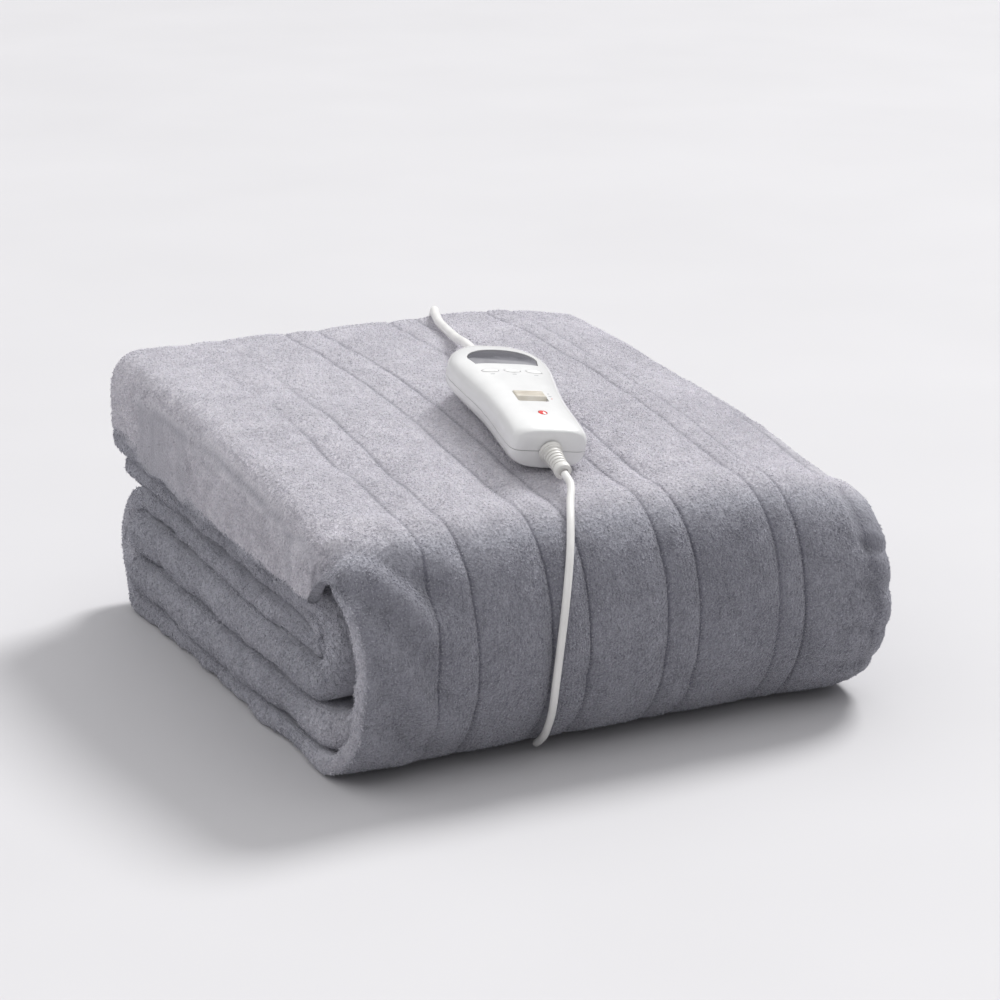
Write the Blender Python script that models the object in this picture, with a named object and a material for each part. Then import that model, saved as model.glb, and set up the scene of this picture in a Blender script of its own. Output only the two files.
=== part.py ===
"""A folded electric heated throw with its hand controller and leads.

Metres, +Z up, +X along the front face and +Y to the back. The origin is on the surface that the
throw lies on, under the middle of the folded bundle.
"""

import math
from collections import namedtuple

import bmesh
import bpy
from mathutils import Matrix, Vector

# Cloth
PLY = 0.0124                # one layer of padded plush
PLY_GAP = 0.0013            # between the three layers of the strip
PITCH = PLY + PLY_GAP
STRIP = 3 * PLY + 2 * PLY_GAP
GROUP_GAP = 0.0012          # between one leg of the strip and the next
FLAP_RADIUS = 0.011         # bend of the hem where it hangs over an edge
FLAP_FULL = 0.020           # a hem this long or longer hangs square down
FALL_START = 0.105          # x from which the short inner layer lets the others sink
END_ROUNDING = ((0.0, 0.45), (0.35, 0.85))    # (ply thicknesses in from an end, share of thickness)

# The layers are pressed thin at the front and stand fuller to the back: y, share of the fullness
BACK_FULLNESS = 0.18
FULLNESS = (
    (-0.160, 0.00), (-0.108, 0.20), (-0.048, 0.50), (0.026, 0.79), (0.100, 0.94), (0.174, 1.00),
)

# Route of the strip's middle, seen from the left end: the leg, counted from the base, and the y of
# each stretch's two ends. A turn's bulge is how far it swings out past them.
TOP_BACK = (3, 0.214)
TOP_FRONT = (3, -0.160)
BASE_FRONT = (0, -0.160)
BASE_BACK = (0, 0.1745)
SECOND_BACK = (1, 0.1745)
SECOND_FRONT = (1, -0.136)
THIRD_FRONT = (2, -0.136)
THIRD_BACK = (2, 0.220)
BACK_BULGE = ((1 + BACK_FULLNESS) * STRIP + GROUP_GAP) / 2
INNER_BULGE = (STRIP + GROUP_GAP) / 2
FRONT_BULGE = 0.044

# One row for each stretch of the strip, from its free end at the top back to its other end
Stretch = namedtuple("Stretch", "start end bulge steps")
STRETCHES = (
    Stretch(TOP_BACK, TOP_FRONT, 0.0, 11),
    Stretch(TOP_FRONT, BASE_FRONT, -FRONT_BULGE, 13),
    Stretch(BASE_FRONT, BASE_BACK, 0.0, 9),
    Stretch(BASE_BACK, SECOND_BACK, BACK_BULGE, 7),
    Stretch(SECOND_BACK, SECOND_FRONT, 0.0, 9),
    Stretch(SECOND_FRONT, THIRD_FRONT, -INNER_BULGE, 7),
    Stretch(THIRD_FRONT, THIRD_BACK, 0.0, 10),
)

# One row for each place along the strip, counted in stretches from the top back. In metres:
# left and right are the x of the folded edges, hem is the x of the outer layer's free edge, flap is
# the length that hangs over, tuck is the x of the inner layer's free edge, and fall is how far the
# right-hand edge sinks.
Edge = namedtuple("Edge", "at left hem flap right tuck fall")
EDGES = (
    Edge(0.00, -0.186, -0.197, 0.024, 0.190, 0.122, 0.012),
    Edge(0.30, -0.188, -0.200, 0.030, 0.193, 0.124, 0.014),
    Edge(0.65, -0.186, -0.202, 0.030, 0.197, 0.126, 0.016),
    Edge(0.95, -0.176, -0.202, 0.024, 0.200, 0.128, 0.017),
    Edge(1.22, -0.150, -0.199, 0.012, 0.202, 0.130, 0.014),
    Edge(1.45, -0.152, -0.194, 0.001, 0.202, 0.132, 0.009),
    Edge(1.70, -0.176, -0.195, 0.000, 0.200, 0.130, 0.004),
    Edge(2.00, -0.192, -0.198, 0.000, 0.198, 0.128, 0.000),
    Edge(2.50, -0.197, -0.195, 0.000, 0.195, 0.124, 0.000),
    Edge(3.00, -0.197, -0.193, 0.000, 0.192, 0.122, 0.000),
    Edge(3.50, -0.196, -0.191, 0.000, 0.190, 0.122, 0.004),
    Edge(4.00, -0.195, -0.189, 0.000, 0.192, 0.124, 0.008),
    Edge(4.50, -0.196, -0.191, 0.000, 0.195, 0.126, 0.008),
    Edge(5.00, -0.192, -0.188, 0.000, 0.197, 0.128, 0.008),
    Edge(5.50, -0.186, -0.182, 0.000, 0.197, 0.128, 0.008),
    Edge(6.00, -0.190, -0.185, 0.000, 0.196, 0.126, 0.008),
    Edge(6.50, -0.194, -0.188, 0.000, 0.193, 0.122, 0.008),
    Edge(7.00, -0.192, -0.186, 0.000, 0.189, 0.118, 0.008),
)
LAYER_STEPS = 5             # points along each layer of the strip, across the bundle
TURN_STEPS = 3              # points round each folded edge, with its ends


def ease(share):
    share = min(max(share, 0.0), 1.0)
    return share * share * (3 - 2 * share)


def edge_at(at):
    """The Edge row for any place along the strip, eased between the rows of the table."""
    after = next(i for i, row in enumerate(EDGES) if row.at >= min(at, EDGES[-1].at))
    before = max(after - 1, 0)
    low, high = EDGES[before], EDGES[after]
    share = ease((at - low.at) / (high.at - low.at)) if after else 0.0
    return Edge(*(a + (b - a) * share for a, b in zip(low, high)))


def fullness(y):
    """How full the layers stand at y, over their thickness at the front, and its slope along y."""
    rises = [(b[1] - a[1]) / (b[0] - a[0]) for a, b in zip(FULLNESS, FULLNESS[1:])]
    slopes = [0.0] + [(a + b) / 2 for a, b in zip(rises, rises[1:])] + [0.0]
    y = min(max(y, FULLNESS[0][0]), FULLNESS[-1][0])
    i = next(i for i, row in enumerate(FULLNESS[1:]) if y <= row[0])
    (y0, low), (y1, high) = FULLNESS[i], FULLNESS[i + 1]
    gap = y1 - y0
    t = (y - y0) / gap
    begin, finish = slopes[i] * gap, slopes[i + 1] * gap
    bend = begin + finish - 2 * (high - low)
    share = low + begin * t + (high - low - begin - bend) * t * t + bend * t ** 3
    slope = (begin + 2 * (high - low - begin - bend) * t + 3 * bend * t * t) / gap
    return 1 + BACK_FULLNESS * share, BACK_FULLNESS * slope


def leg_height(leg, y):
    """Height of the middle of a leg of the strip at y, and its slope along y."""
    full, slope = fullness(y)
    return (leg + 0.5) * STRIP * full + leg * GROUP_GAP, (leg + 0.5) * STRIP * slope


def route_point(index, share):
    """(y, z) of the strip's middle, and its direction, at a share of one stretch."""
    stretch = STRETCHES[index]
    (leg0, y0), (leg1, y1) = stretch.start, stretch.end
    if stretch.bulge:
        turn = math.pi * share
        z0, z1 = leg_height(leg0, y0)[0], leg_height(leg1, y1)[0]
        y = y0 + (y1 - y0) * ease(share) + stretch.bulge * math.sin(turn)
        z = (z0 + z1) / 2 + (z0 - z1) / 2 * math.cos(turn)
        dy = (y1 - y0) * 6 * share * (1 - share) + stretch.bulge * math.pi * math.cos(turn)
        dz = -(z0 - z1) / 2 * math.pi * math.sin(turn)
        return (y, z), (dy, dz)
    y = y0 + (y1 - y0) * share
    z, slope = leg_height(leg0, y)
    return (y, z), (y1 - y0, slope * (y1 - y0))


def strip_line(edge):
    """Middle line of the three layers in (x, out), from the hem round both folds to the tuck."""
    outer, inner = PITCH, -PITCH
    bend = math.radians(90) * min(edge.flap / FLAP_FULL, 1.0)
    round_in = PLY / 2
    level_x = edge.hem + round_in + FLAP_RADIUS * math.sin(bend) + edge.flap * math.cos(bend)
    bend_out = outer - FLAP_RADIUS * (1 - math.cos(bend))
    bend_x = level_x - FLAP_RADIUS * math.sin(bend)
    tip = (bend_x - edge.flap * math.cos(bend), bend_out - edge.flap * math.sin(bend))
    half = bend / 2
    knee = (level_x - FLAP_RADIUS * math.sin(half), outer - FLAP_RADIUS * (1 - math.cos(half)))
    line = [tip, (bend_x, bend_out), knee]

    right_centre = edge.right - round_in - PITCH / 2
    left_centre = edge.left + round_in + PITCH / 2
    for i in range(LAYER_STEPS):
        line.append((level_x + (right_centre - level_x) * i / LAYER_STEPS, outer))
    for i in range(TURN_STEPS + 1):
        turn = math.pi * i / TURN_STEPS
        line.append((right_centre + PITCH / 2 * math.sin(turn), PITCH / 2 * (1 + math.cos(turn))))
    for i in range(1, LAYER_STEPS):
        line.append((right_centre + (left_centre - right_centre) * i / LAYER_STEPS, 0.0))
    for i in range(TURN_STEPS + 1):
        turn = math.pi * i / TURN_STEPS
        line.append((left_centre - PITCH / 2 * math.sin(turn), -PITCH / 2 * (1 - math.cos(turn))))
    for i in range(1, LAYER_STEPS + 1):
        line.append((left_centre + (edge.tuck - left_centre) * i / LAYER_STEPS, inner))
    return line


def strip_outline(edge, thickness):
    """Closed outline of the three layers: both sides of the middle line, with rounded free edges."""
    line = strip_line(edge)
    sides = []
    for i, (x, out) in enumerate(line):
        before, after = line[max(i - 1, 0)], line[min(i + 1, len(line) - 1)]
        along = Vector((after[0] - before[0], after[1] - before[1])).normalized()
        across = Vector((-along.y, along.x)) * thickness / 2
        narrow = 0.55 if i in (0, len(line) - 1) else 1.0
        sides.append((Vector((x, out)) + across * narrow, Vector((x, out)) - across * narrow))
    return [left for left, _ in sides] + [right for _, right in reversed(sides)]


def strip_stations():
    """(place along the strip, share of thickness) for each cross-section, both ends rounded."""
    stations = []
    for index, stretch in enumerate(STRETCHES):
        first = 0 if index == 0 else 1
        stations += [(index + i / stretch.steps, 1.0) for i in range(first, stretch.steps + 1)]
    first_length = abs(STRETCHES[0].end[1] - STRETCHES[0].start[1])
    last_length = abs(STRETCHES[-1].end[1] - STRETCHES[-1].start[1])
    start = [(inset * PLY / first_length, share) for inset, share in END_ROUNDING]
    end = [(len(STRETCHES) - inset * PLY / last_length, share) for inset, share in END_ROUNDING]
    return start + [(PLY / first_length, 1.0)] + stations[1:-1] + \
        [(len(STRETCHES) - PLY / last_length, 1.0)] + end[::-1]


def fabric_section(at, thickness):
    """One cross-section of the folded cloth as points in space."""
    index = min(int(at), len(STRETCHES) - 1)
    (y, z), (dy, dz) = route_point(index, at - index)
    size = math.hypot(dy, dz)
    full = fullness(y)[0]
    out_y, out_z = full * dz / size, -full * dy / size
    edge = edge_at(at)
    points = []
    for x, out in strip_outline(edge, thickness):
        sink = edge.fall * ease((x - FALL_START) / (edge.right - FALL_START))
        points.append(Vector((x, y + out_y * out, z + out_z * out - sink)))
    return points


# Hand controller, in its own frame: x across, +y to the head, z up from the parting plane
CONTROLLER_PLACE = Vector((0.0007, -0.0586, 0.1940))
CONTROLLER_TURN = math.radians(-9.3)          # the head swung to the right
CONTROLLER_PITCH = math.radians(10.0)         # the tail lower than the head
CONTROLLER_ROLL = math.radians(7.0)           # the right side lower than the left
UPPER_HEIGHT = 0.0165
LOWER_HEIGHT = 0.0145
SEAM = 0.0004
# One row across the body, from the tail to the head: y, half width, and how full the section is
Rib = namedtuple("Rib", "y half_width crown")
RIBS = (
    Rib(-0.0720, 0.0215, 0.80),
    Rib(-0.0705, 0.0250, 0.90),
    Rib(-0.0650, 0.0272, 0.97),
    Rib(-0.0500, 0.0277, 1.00),
    Rib(-0.0280, 0.0279, 1.00),
    Rib(-0.0060, 0.0295, 1.00),
    Rib(0.0160, 0.0330, 1.00),
    Rib(0.0350, 0.0360, 1.00),
    Rib(0.0490, 0.0362, 0.98),
    Rib(0.0600, 0.0328, 0.94),
    Rib(0.0670, 0.0268, 0.88),
    Rib(0.0712, 0.0190, 0.80),
    Rib(0.0730, 0.0110, 0.74),
)
SHELL_CORNERS = 7                             # points from the parting line to the top, each side

WINDOW_SIZE = (0.0500, 0.0255)
WINDOW_PLACE = 0.0330
WINDOW_SIDE = 0.0100                          # straight part of its sides, below the arch
WINDOW_DEPTH = 0.0030
BUTTON_SIZE = (0.0118, 0.0052)
BUTTON_PLACE = 0.0210
BUTTON_PITCH = 0.0158
BUTTON_TRAVEL = 0.0006
SLOT_SIZE = (0.0220, 0.0165)
SLOT_PLACE = -0.0205
SLOT_DEPTH = 0.0035
SLIDER_SIZE = (0.0210, 0.0110)
SLIDER_TRAVEL = 0.0040
LAMP_RADIUS = 0.0030
LAMP_PLACE = -0.0470
SLIDER_PROUD = 0.0006
SLIDER_RIB = 0.0007
SLIDER_RIBS = 5
BUTTON_DEPTH = 0.0030
BUTTON_PROUD = 0.0005
LAMP_DEPTH = 0.0020
WINDOW_BASE_SHARE = 0.90
UPPER_POWER = 4.0                             # squareness of the sections
LOWER_POWER = 2.8
FIT = 0.0004                                  # clearance round a loose piece
TOP_LEVEL = UPPER_HEIGHT                      # height of the flat of the top over the parting plane

# Leads and their sleeves
MAINS_DIAMETER = 0.0068
THROW_DIAMETER = 0.0052
CLEAR = 0.0003
Turned = namedtuple("Turned", "along radius")
TAIL_SLEEVE = (
    Turned(0.0000, 0.0080), Turned(0.0022, 0.0082), Turned(0.0036, 0.0074), Turned(0.0040, 0.0062),
    Turned(0.0120, 0.0057), Turned(0.0200, 0.0050), Turned(0.0204, 0.0056), Turned(0.0250, 0.0055),
    Turned(0.0262, 0.0046),
)
HEAD_SLEEVE = (
    Turned(0.0000, 0.0066), Turned(0.0030, 0.0064), Turned(0.0100, 0.0058), Turned(0.0190, 0.0050),
    Turned(0.0230, 0.0044),
)
SLEEVE_SIDES = 20
TAIL_DIRECTION = (0.06, -1.0, -0.12)          # in the controller's frame
HEAD_DIRECTION = (-0.06, 1.0, -0.09)
LEAD_OUT = 0.0120                             # straight lead beyond a sleeve's mouth
# Routes of the loose leads. The first two points of each follow from its sleeve.
THROW_LEAD_ROUTE = (
    (-0.0225, -0.1795, 0.1628), (-0.0300, -0.1940, 0.1546), (-0.0375, -0.2080, 0.1415),
    (-0.0440, -0.2178, 0.1262), (-0.0500, -0.2248, 0.1060), (-0.0545, -0.2276, 0.0830),
    (-0.0562, -0.2258, 0.0620), (-0.0552, -0.2180, 0.0370), (-0.0537, -0.2060, 0.0180),
    (-0.0527, -0.1965, 0.0094), (-0.0520, -0.1900, 0.0051),
)
MAINS_LEAD_ROUTE = (
    (0.0278, 0.0810, 0.2040), (0.0365, 0.1055, 0.1990), (0.0428, 0.1275, 0.1965),
    (0.0472, 0.1480, 0.1960), (0.0523, 0.1710, 0.1959), (0.0595, 0.1925, 0.1960),
    (0.0658, 0.2080, 0.1958), (0.0705, 0.2195, 0.1908), (0.0722, 0.2262, 0.1790),
    (0.0724, 0.2285, 0.1620), (0.0722, 0.2286, 0.1050), (0.0722, 0.2290, 0.0620),
    (0.0722, 0.2330, 0.0310), (0.0722, 0.2440, 0.0120), (0.0722, 0.2610, 0.0050),
    (0.0722, 0.2800, 0.0037), (0.0722, 0.3060, 0.0037),
)
STEP_IN_DIAMETERS = 2.5

# Coil of the mains lead that is put away, its tie and its plug
COIL_CENTRE = (0.1216, 0.3160)
COIL_MEAN_RADIUS = 5.25 * MAINS_DIAMETER
COIL_ACROSS = 3 * MAINS_DIAMETER              # turns side by side
COIL_HIGH = 2 * MAINS_DIAMETER                # and on each other
TIE_ROOM = 0.0008                             # between the turns and the tie, on each side
TIE_WIDTH = 0.0080
TIE_THICK = 0.0008
COIL_BASE = TIE_THICK + TIE_ROOM + 0.0003
TIE_ANGLE = math.radians(115)
PLUG_LENGTH = 0.0360
PLUG_WIDTH = 0.0340
PLUG_HEIGHT = 0.0137
PLUG_NECK = 0.0120
PIN_SPACING = 0.0190
PIN_RADIUS = 0.0020
PIN_LENGTH = 0.0180
PLUG_LEAD = 0.0160                            # lead between the coil and the plug


def clear_scene():
    for item in list(bpy.data.objects):
        bpy.data.objects.remove(item, do_unlink=True)


def material(name, colour, roughness, metallic=0.0):
    made = bpy.data.materials.new(name)
    made.use_nodes = True
    shader = made.node_tree.nodes["Principled BSDF"]
    shader.inputs["Base Color"].default_value = (*colour, 1.0)
    shader.inputs["Roughness"].default_value = roughness
    shader.inputs["Metallic"].default_value = metallic
    return made


def add_object(name, mesh_data, finish, parent=None, smooth=True):
    made = bpy.data.objects.new(name, mesh_data)
    bpy.context.collection.objects.link(made)
    mesh_data.materials.append(finish)
    made.parent = parent
    if smooth and isinstance(mesh_data, bpy.types.Mesh):
        mesh_data.shade_smooth()
        mesh_data.set_sharp_from_angle(angle=math.radians(35))
    return made


def mesh_from(bm, name):
    bmesh.ops.recalc_face_normals(bm, faces=bm.faces)
    made = bpy.data.meshes.new(name)
    bm.to_mesh(made)
    bm.free()
    return made


def loft(loops, name):
    """Skin closed loops of equal length in order, and cap both ends."""
    bm = bmesh.new()
    rings = [[bm.verts.new(point) for point in loop] for loop in loops]
    count = len(rings[0])
    for low, high in zip(rings, rings[1:]):
        for i in range(count):
            bm.faces.new((low[i], low[(i + 1) % count], high[(i + 1) % count], high[i]))
    caps = [bm.faces.new(rings[0][::-1]), bm.faces.new(rings[-1])]
    bmesh.ops.triangulate(bm, faces=caps, ngon_method="EAR_CLIP")
    return mesh_from(bm, name)


def prism(outline, bottom, top, name):
    """Upright solid on an outline in x and y; bottom and top are heights or functions of x, y."""
    level = [height if callable(height) else (lambda x, y, h=height: h) for height in (bottom, top)]
    loops = [[Vector((x, y, at(x, y))) for x, y in outline] for at in level]
    return loft(loops, name)


def rounded_box(width, length, radius, steps=3):
    """Outline of a rectangle with round corners, counter-clockwise."""
    outline = []
    corners = ((1, 1, 0), (-1, 1, 90), (-1, -1, 180), (1, -1, 270))
    for sign_x, sign_y, start in corners:
        for i in range(steps + 1):
            turn = math.radians(start + 90 * i / steps)
            x = sign_x * (width / 2 - radius) + radius * math.cos(turn)
            y = sign_y * (length / 2 - radius) + radius * math.sin(turn)
            outline.append((x, y))
    return outline


def moved(outline, x, y):
    return [(px + x, py + y) for px, py in outline]


def grown(outline, by):
    """A convex outline with every edge moved out by the same distance."""
    made = []
    for i, place in enumerate(outline):
        here = Vector(place)
        before, after = Vector(outline[i - 1]), Vector(outline[(i + 1) % len(outline)])
        out_a = Vector(((here - before).y, -(here - before).x)).normalized()
        out_b = Vector(((after - here).y, -(after - here).x)).normalized()
        out = (out_a + out_b).normalized()
        made.append(tuple(here + out * by / out.dot(out_a)))
    return made


def turned(profile, name, sides=SLEEVE_SIDES):
    """Solid of revolution along +Z from rows of (along, radius)."""
    loops = []
    for row in profile:
        turn = [math.tau * i / sides for i in range(sides)]
        loops.append([Vector((row.radius * math.cos(a), row.radius * math.sin(a), row.along))
                      for a in turn])
    return loft(loops, name)


def smooth_route(points, spacing):
    """Points every spacing or so on a Catmull-Rom curve through the given ones."""
    points = [Vector(p) for p in points]
    ends = [2 * points[0] - points[1]] + points + [2 * points[-1] - points[-2]]
    dense = []
    for a, b, c, d in zip(ends, ends[1:], ends[2:], ends[3:]):
        for i in range(16):
            t = i / 16
            dense.append(0.5 * (2 * b + (c - a) * t + (2 * a - 5 * b + 4 * c - d) * t * t
                                + (3 * b - a - 3 * c + d) * t ** 3))
    dense.append(points[-1])
    run = [0.0]
    for a, b in zip(dense, dense[1:]):
        run.append(run[-1] + (b - a).length)
    count = max(round(run[-1] / spacing), 2)
    even = []
    for i in range(count + 1):
        want = run[-1] * i / count
        after = next((j for j, r in enumerate(run) if r >= want), len(run) - 1)
        before = max(after - 1, 0)
        gap = run[after] - run[before]
        even.append(dense[before].lerp(dense[after], (want - run[before]) / gap if gap else 0.0))
    return even


def tube(name, points, diameter, finish):
    data = bpy.data.curves.new(name, "CURVE")
    data.dimensions = "3D"
    data.bevel_depth = diameter / 2
    data.bevel_resolution = 3
    data.use_fill_caps = True
    spline = data.splines.new("POLY")
    even = smooth_route(points, STEP_IN_DIAMETERS * diameter)
    spline.points.add(len(even) - 1)
    for point, place in zip(spline.points, even):
        point.co = (*place, 1.0)
    return add_object(name, data, finish)


def cut(target, cutter_mesh, name):
    cutter = bpy.data.objects.new(name, cutter_mesh)
    bpy.context.collection.objects.link(cutter)
    cutter.parent = target.parent
    cutter.hide_render = True
    cutter.display_type = "WIRE"
    modifier = target.modifiers.new(name, "BOOLEAN")
    modifier.operation = "DIFFERENCE"
    modifier.solver = "EXACT"
    modifier.object = cutter


def build_throw(finish):
    sections = [fabric_section(at, thickness * PLY) for at, thickness in strip_stations()]
    return add_object("throw", loft(sections, "throw"), finish)


def rib_at(y):
    """Half width and crown of the controller's body at any y."""
    after = next((i for i, rib in enumerate(RIBS) if rib.y >= y), len(RIBS) - 1)
    before = max(after - 1, 0)
    low, high = RIBS[before], RIBS[after]
    gap = high.y - low.y
    share = min(max((y - low.y) / gap, 0.0), 1.0) if gap else 0.0
    return (low.half_width + (high.half_width - low.half_width) * share,
            low.crown + (high.crown - low.crown) * share)


def top_height(x, y):
    half_width, crown = rib_at(y)
    share = min(abs(x) / half_width, 1.0)
    return UPPER_HEIGHT * crown * (1 - share ** UPPER_POWER) ** (1 / UPPER_POWER)


def shell_loop(rib, height, power, start):
    """Half section of the body from one side of the parting plane over to the other."""
    loop = []
    count = 2 * SHELL_CORNERS
    for i in range(count + 1):
        turn = math.pi * i / count
        x = math.copysign(abs(math.cos(turn)) ** (2 / power), math.cos(turn)) * rib.half_width
        z = math.sin(turn) ** (2 / power) * (abs(height) * rib.crown - SEAM / 2) + SEAM / 2
        loop.append(Vector((x, rib.y, math.copysign(max(z, start), height))))
    return loop


def build_controller(finishes):
    """The body in two shells with its window, buttons, slide switch and lamp."""
    place = bpy.data.objects.new("controller_place", None)
    bpy.context.collection.objects.link(place)
    place.matrix_world = controller_frame()

    lower = [shell_loop(rib, -LOWER_HEIGHT, LOWER_POWER, SEAM / 2) for rib in RIBS]
    add_object("controller_lower", loft(lower, "controller_lower"), finishes["shell"], place)
    upper = [shell_loop(rib, UPPER_HEIGHT, UPPER_POWER, SEAM / 2) for rib in RIBS]
    body = add_object("controller_upper", loft(upper, "controller_upper"), finishes["shell"], place)

    high = UPPER_HEIGHT * 2
    floor = TOP_LEVEL - WINDOW_DEPTH
    cut(body, prism(grown(window_outline(), FIT), floor, high, "window_cut"), "window_cut")
    window = prism(window_outline(), floor + CLEAR, lambda x, y: top_height(x, y) - CLEAR,
                   "display_window")
    add_object("display_window", window, finishes["window"], place)

    for name, side in (("left", -1), ("middle", 0), ("right", 1)):
        x = side * BUTTON_PITCH
        outline = moved(oval(*BUTTON_SIZE), x, BUTTON_PLACE)
        floor = TOP_LEVEL - BUTTON_DEPTH
        cut(body, prism(grown(outline, FIT), floor, high, f"button_{name}_cut"), f"button_{name}_cut")
        base = floor + BUTTON_TRAVEL + CLEAR
        cap = prism(outline, base, lambda px, py: top_height(px, py) + BUTTON_PROUD, "button")
        add_object(f"button_{name}", cap, finishes["button"], place)

    slot = moved(rounded_box(*SLOT_SIZE, 0.0015), 0.0, SLOT_PLACE)
    slot_floor = TOP_LEVEL - SLOT_DEPTH
    cut(body, prism(slot, slot_floor, high, "slot_cut"), "slot_cut")
    add_object("slider", slider_mesh(slot_floor + CLEAR), finishes["slider"], place)

    lamp = moved(oval(2 * LAMP_RADIUS, 2 * LAMP_RADIUS), 0.0, LAMP_PLACE)
    lamp_floor = TOP_LEVEL - LAMP_DEPTH
    cut(body, prism(grown(lamp, FIT), lamp_floor, high, "lamp_cut"), "lamp_cut")
    add_object("lamp", prism(lamp, lamp_floor + CLEAR, TOP_LEVEL + BUTTON_PROUD, "lamp"),
               finishes["lamp"], place)
    return place


def controller_frame():
    return (Matrix.Translation(CONTROLLER_PLACE) @ Matrix.Rotation(CONTROLLER_TURN, 4, "Z")
            @ Matrix.Rotation(CONTROLLER_PITCH, 4, "X") @ Matrix.Rotation(CONTROLLER_ROLL, 4, "Y"))


def window_outline():
    """Straight along the buttons and arched along the head."""
    half, arch = WINDOW_SIZE[0] / 2, WINDOW_SIZE[1] - WINDOW_SIDE
    outline = [(-half * WINDOW_BASE_SHARE, WINDOW_PLACE), (half * WINDOW_BASE_SHARE, WINDOW_PLACE)]
    for i in range(13):
        turn = math.radians(180 * i / 12)
        outline.append((half * math.cos(turn), WINDOW_PLACE + WINDOW_SIDE + arch * math.sin(turn)))
    return outline


def oval(width, length, sides=20):
    turns = [math.tau * i / sides for i in range(sides)]
    return [(width / 2 * math.cos(turn), length / 2 * math.sin(turn)) for turn in turns]


def slider_mesh(base):
    """Block with cross ribs on its top, seen from the side and carried across."""
    length = SLIDER_SIZE[1]
    top = TOP_LEVEL + SLIDER_PROUD
    profile = [(-length / 2, base), (length / 2, base), (length / 2, top - SLIDER_RIB)]
    pitch = length / (SLIDER_RIBS + 1)
    for i in range(SLIDER_RIBS):
        y = length / 2 - pitch * (i + 0.65)
        profile += [(y + pitch * 0.25, top - SLIDER_RIB), (y + pitch * 0.1, top),
                    (y - pitch * 0.2, top), (y - pitch * 0.35, top - SLIDER_RIB)]
    profile.append((-length / 2, top))
    half = SLIDER_SIZE[0] / 2
    place = SLOT_PLACE + (SLOT_SIZE[1] - length) / 2 - FIT
    loops = [[Vector((x, place + y, z)) for y, z in profile] for x in (-half, half)]
    return loft(loops, "slider")


def sleeve(name, profile, face_y, direction, finish, place):
    """A turned strain relief whose foot clears the end face at face_y, in the controller's frame."""
    made = add_object(name, turned(profile, name), finish)
    lean = math.sin(Vector(direction).angle(Vector((0, direction[1], 0))))
    start = Vector((0, face_y + math.copysign(CLEAR + profile[0].radius * lean, direction[1]), 0))
    turn = Vector(direction).to_track_quat("Z", "Y").to_matrix().to_4x4()
    made.matrix_world = place.matrix_world @ Matrix.Translation(start) @ turn
    mouth = made.matrix_world @ Vector((0, 0, profile[-1].along + CLEAR))
    onward = made.matrix_world @ Vector((0, 0, profile[-1].along + LEAD_OUT))
    return mouth, onward


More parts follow.
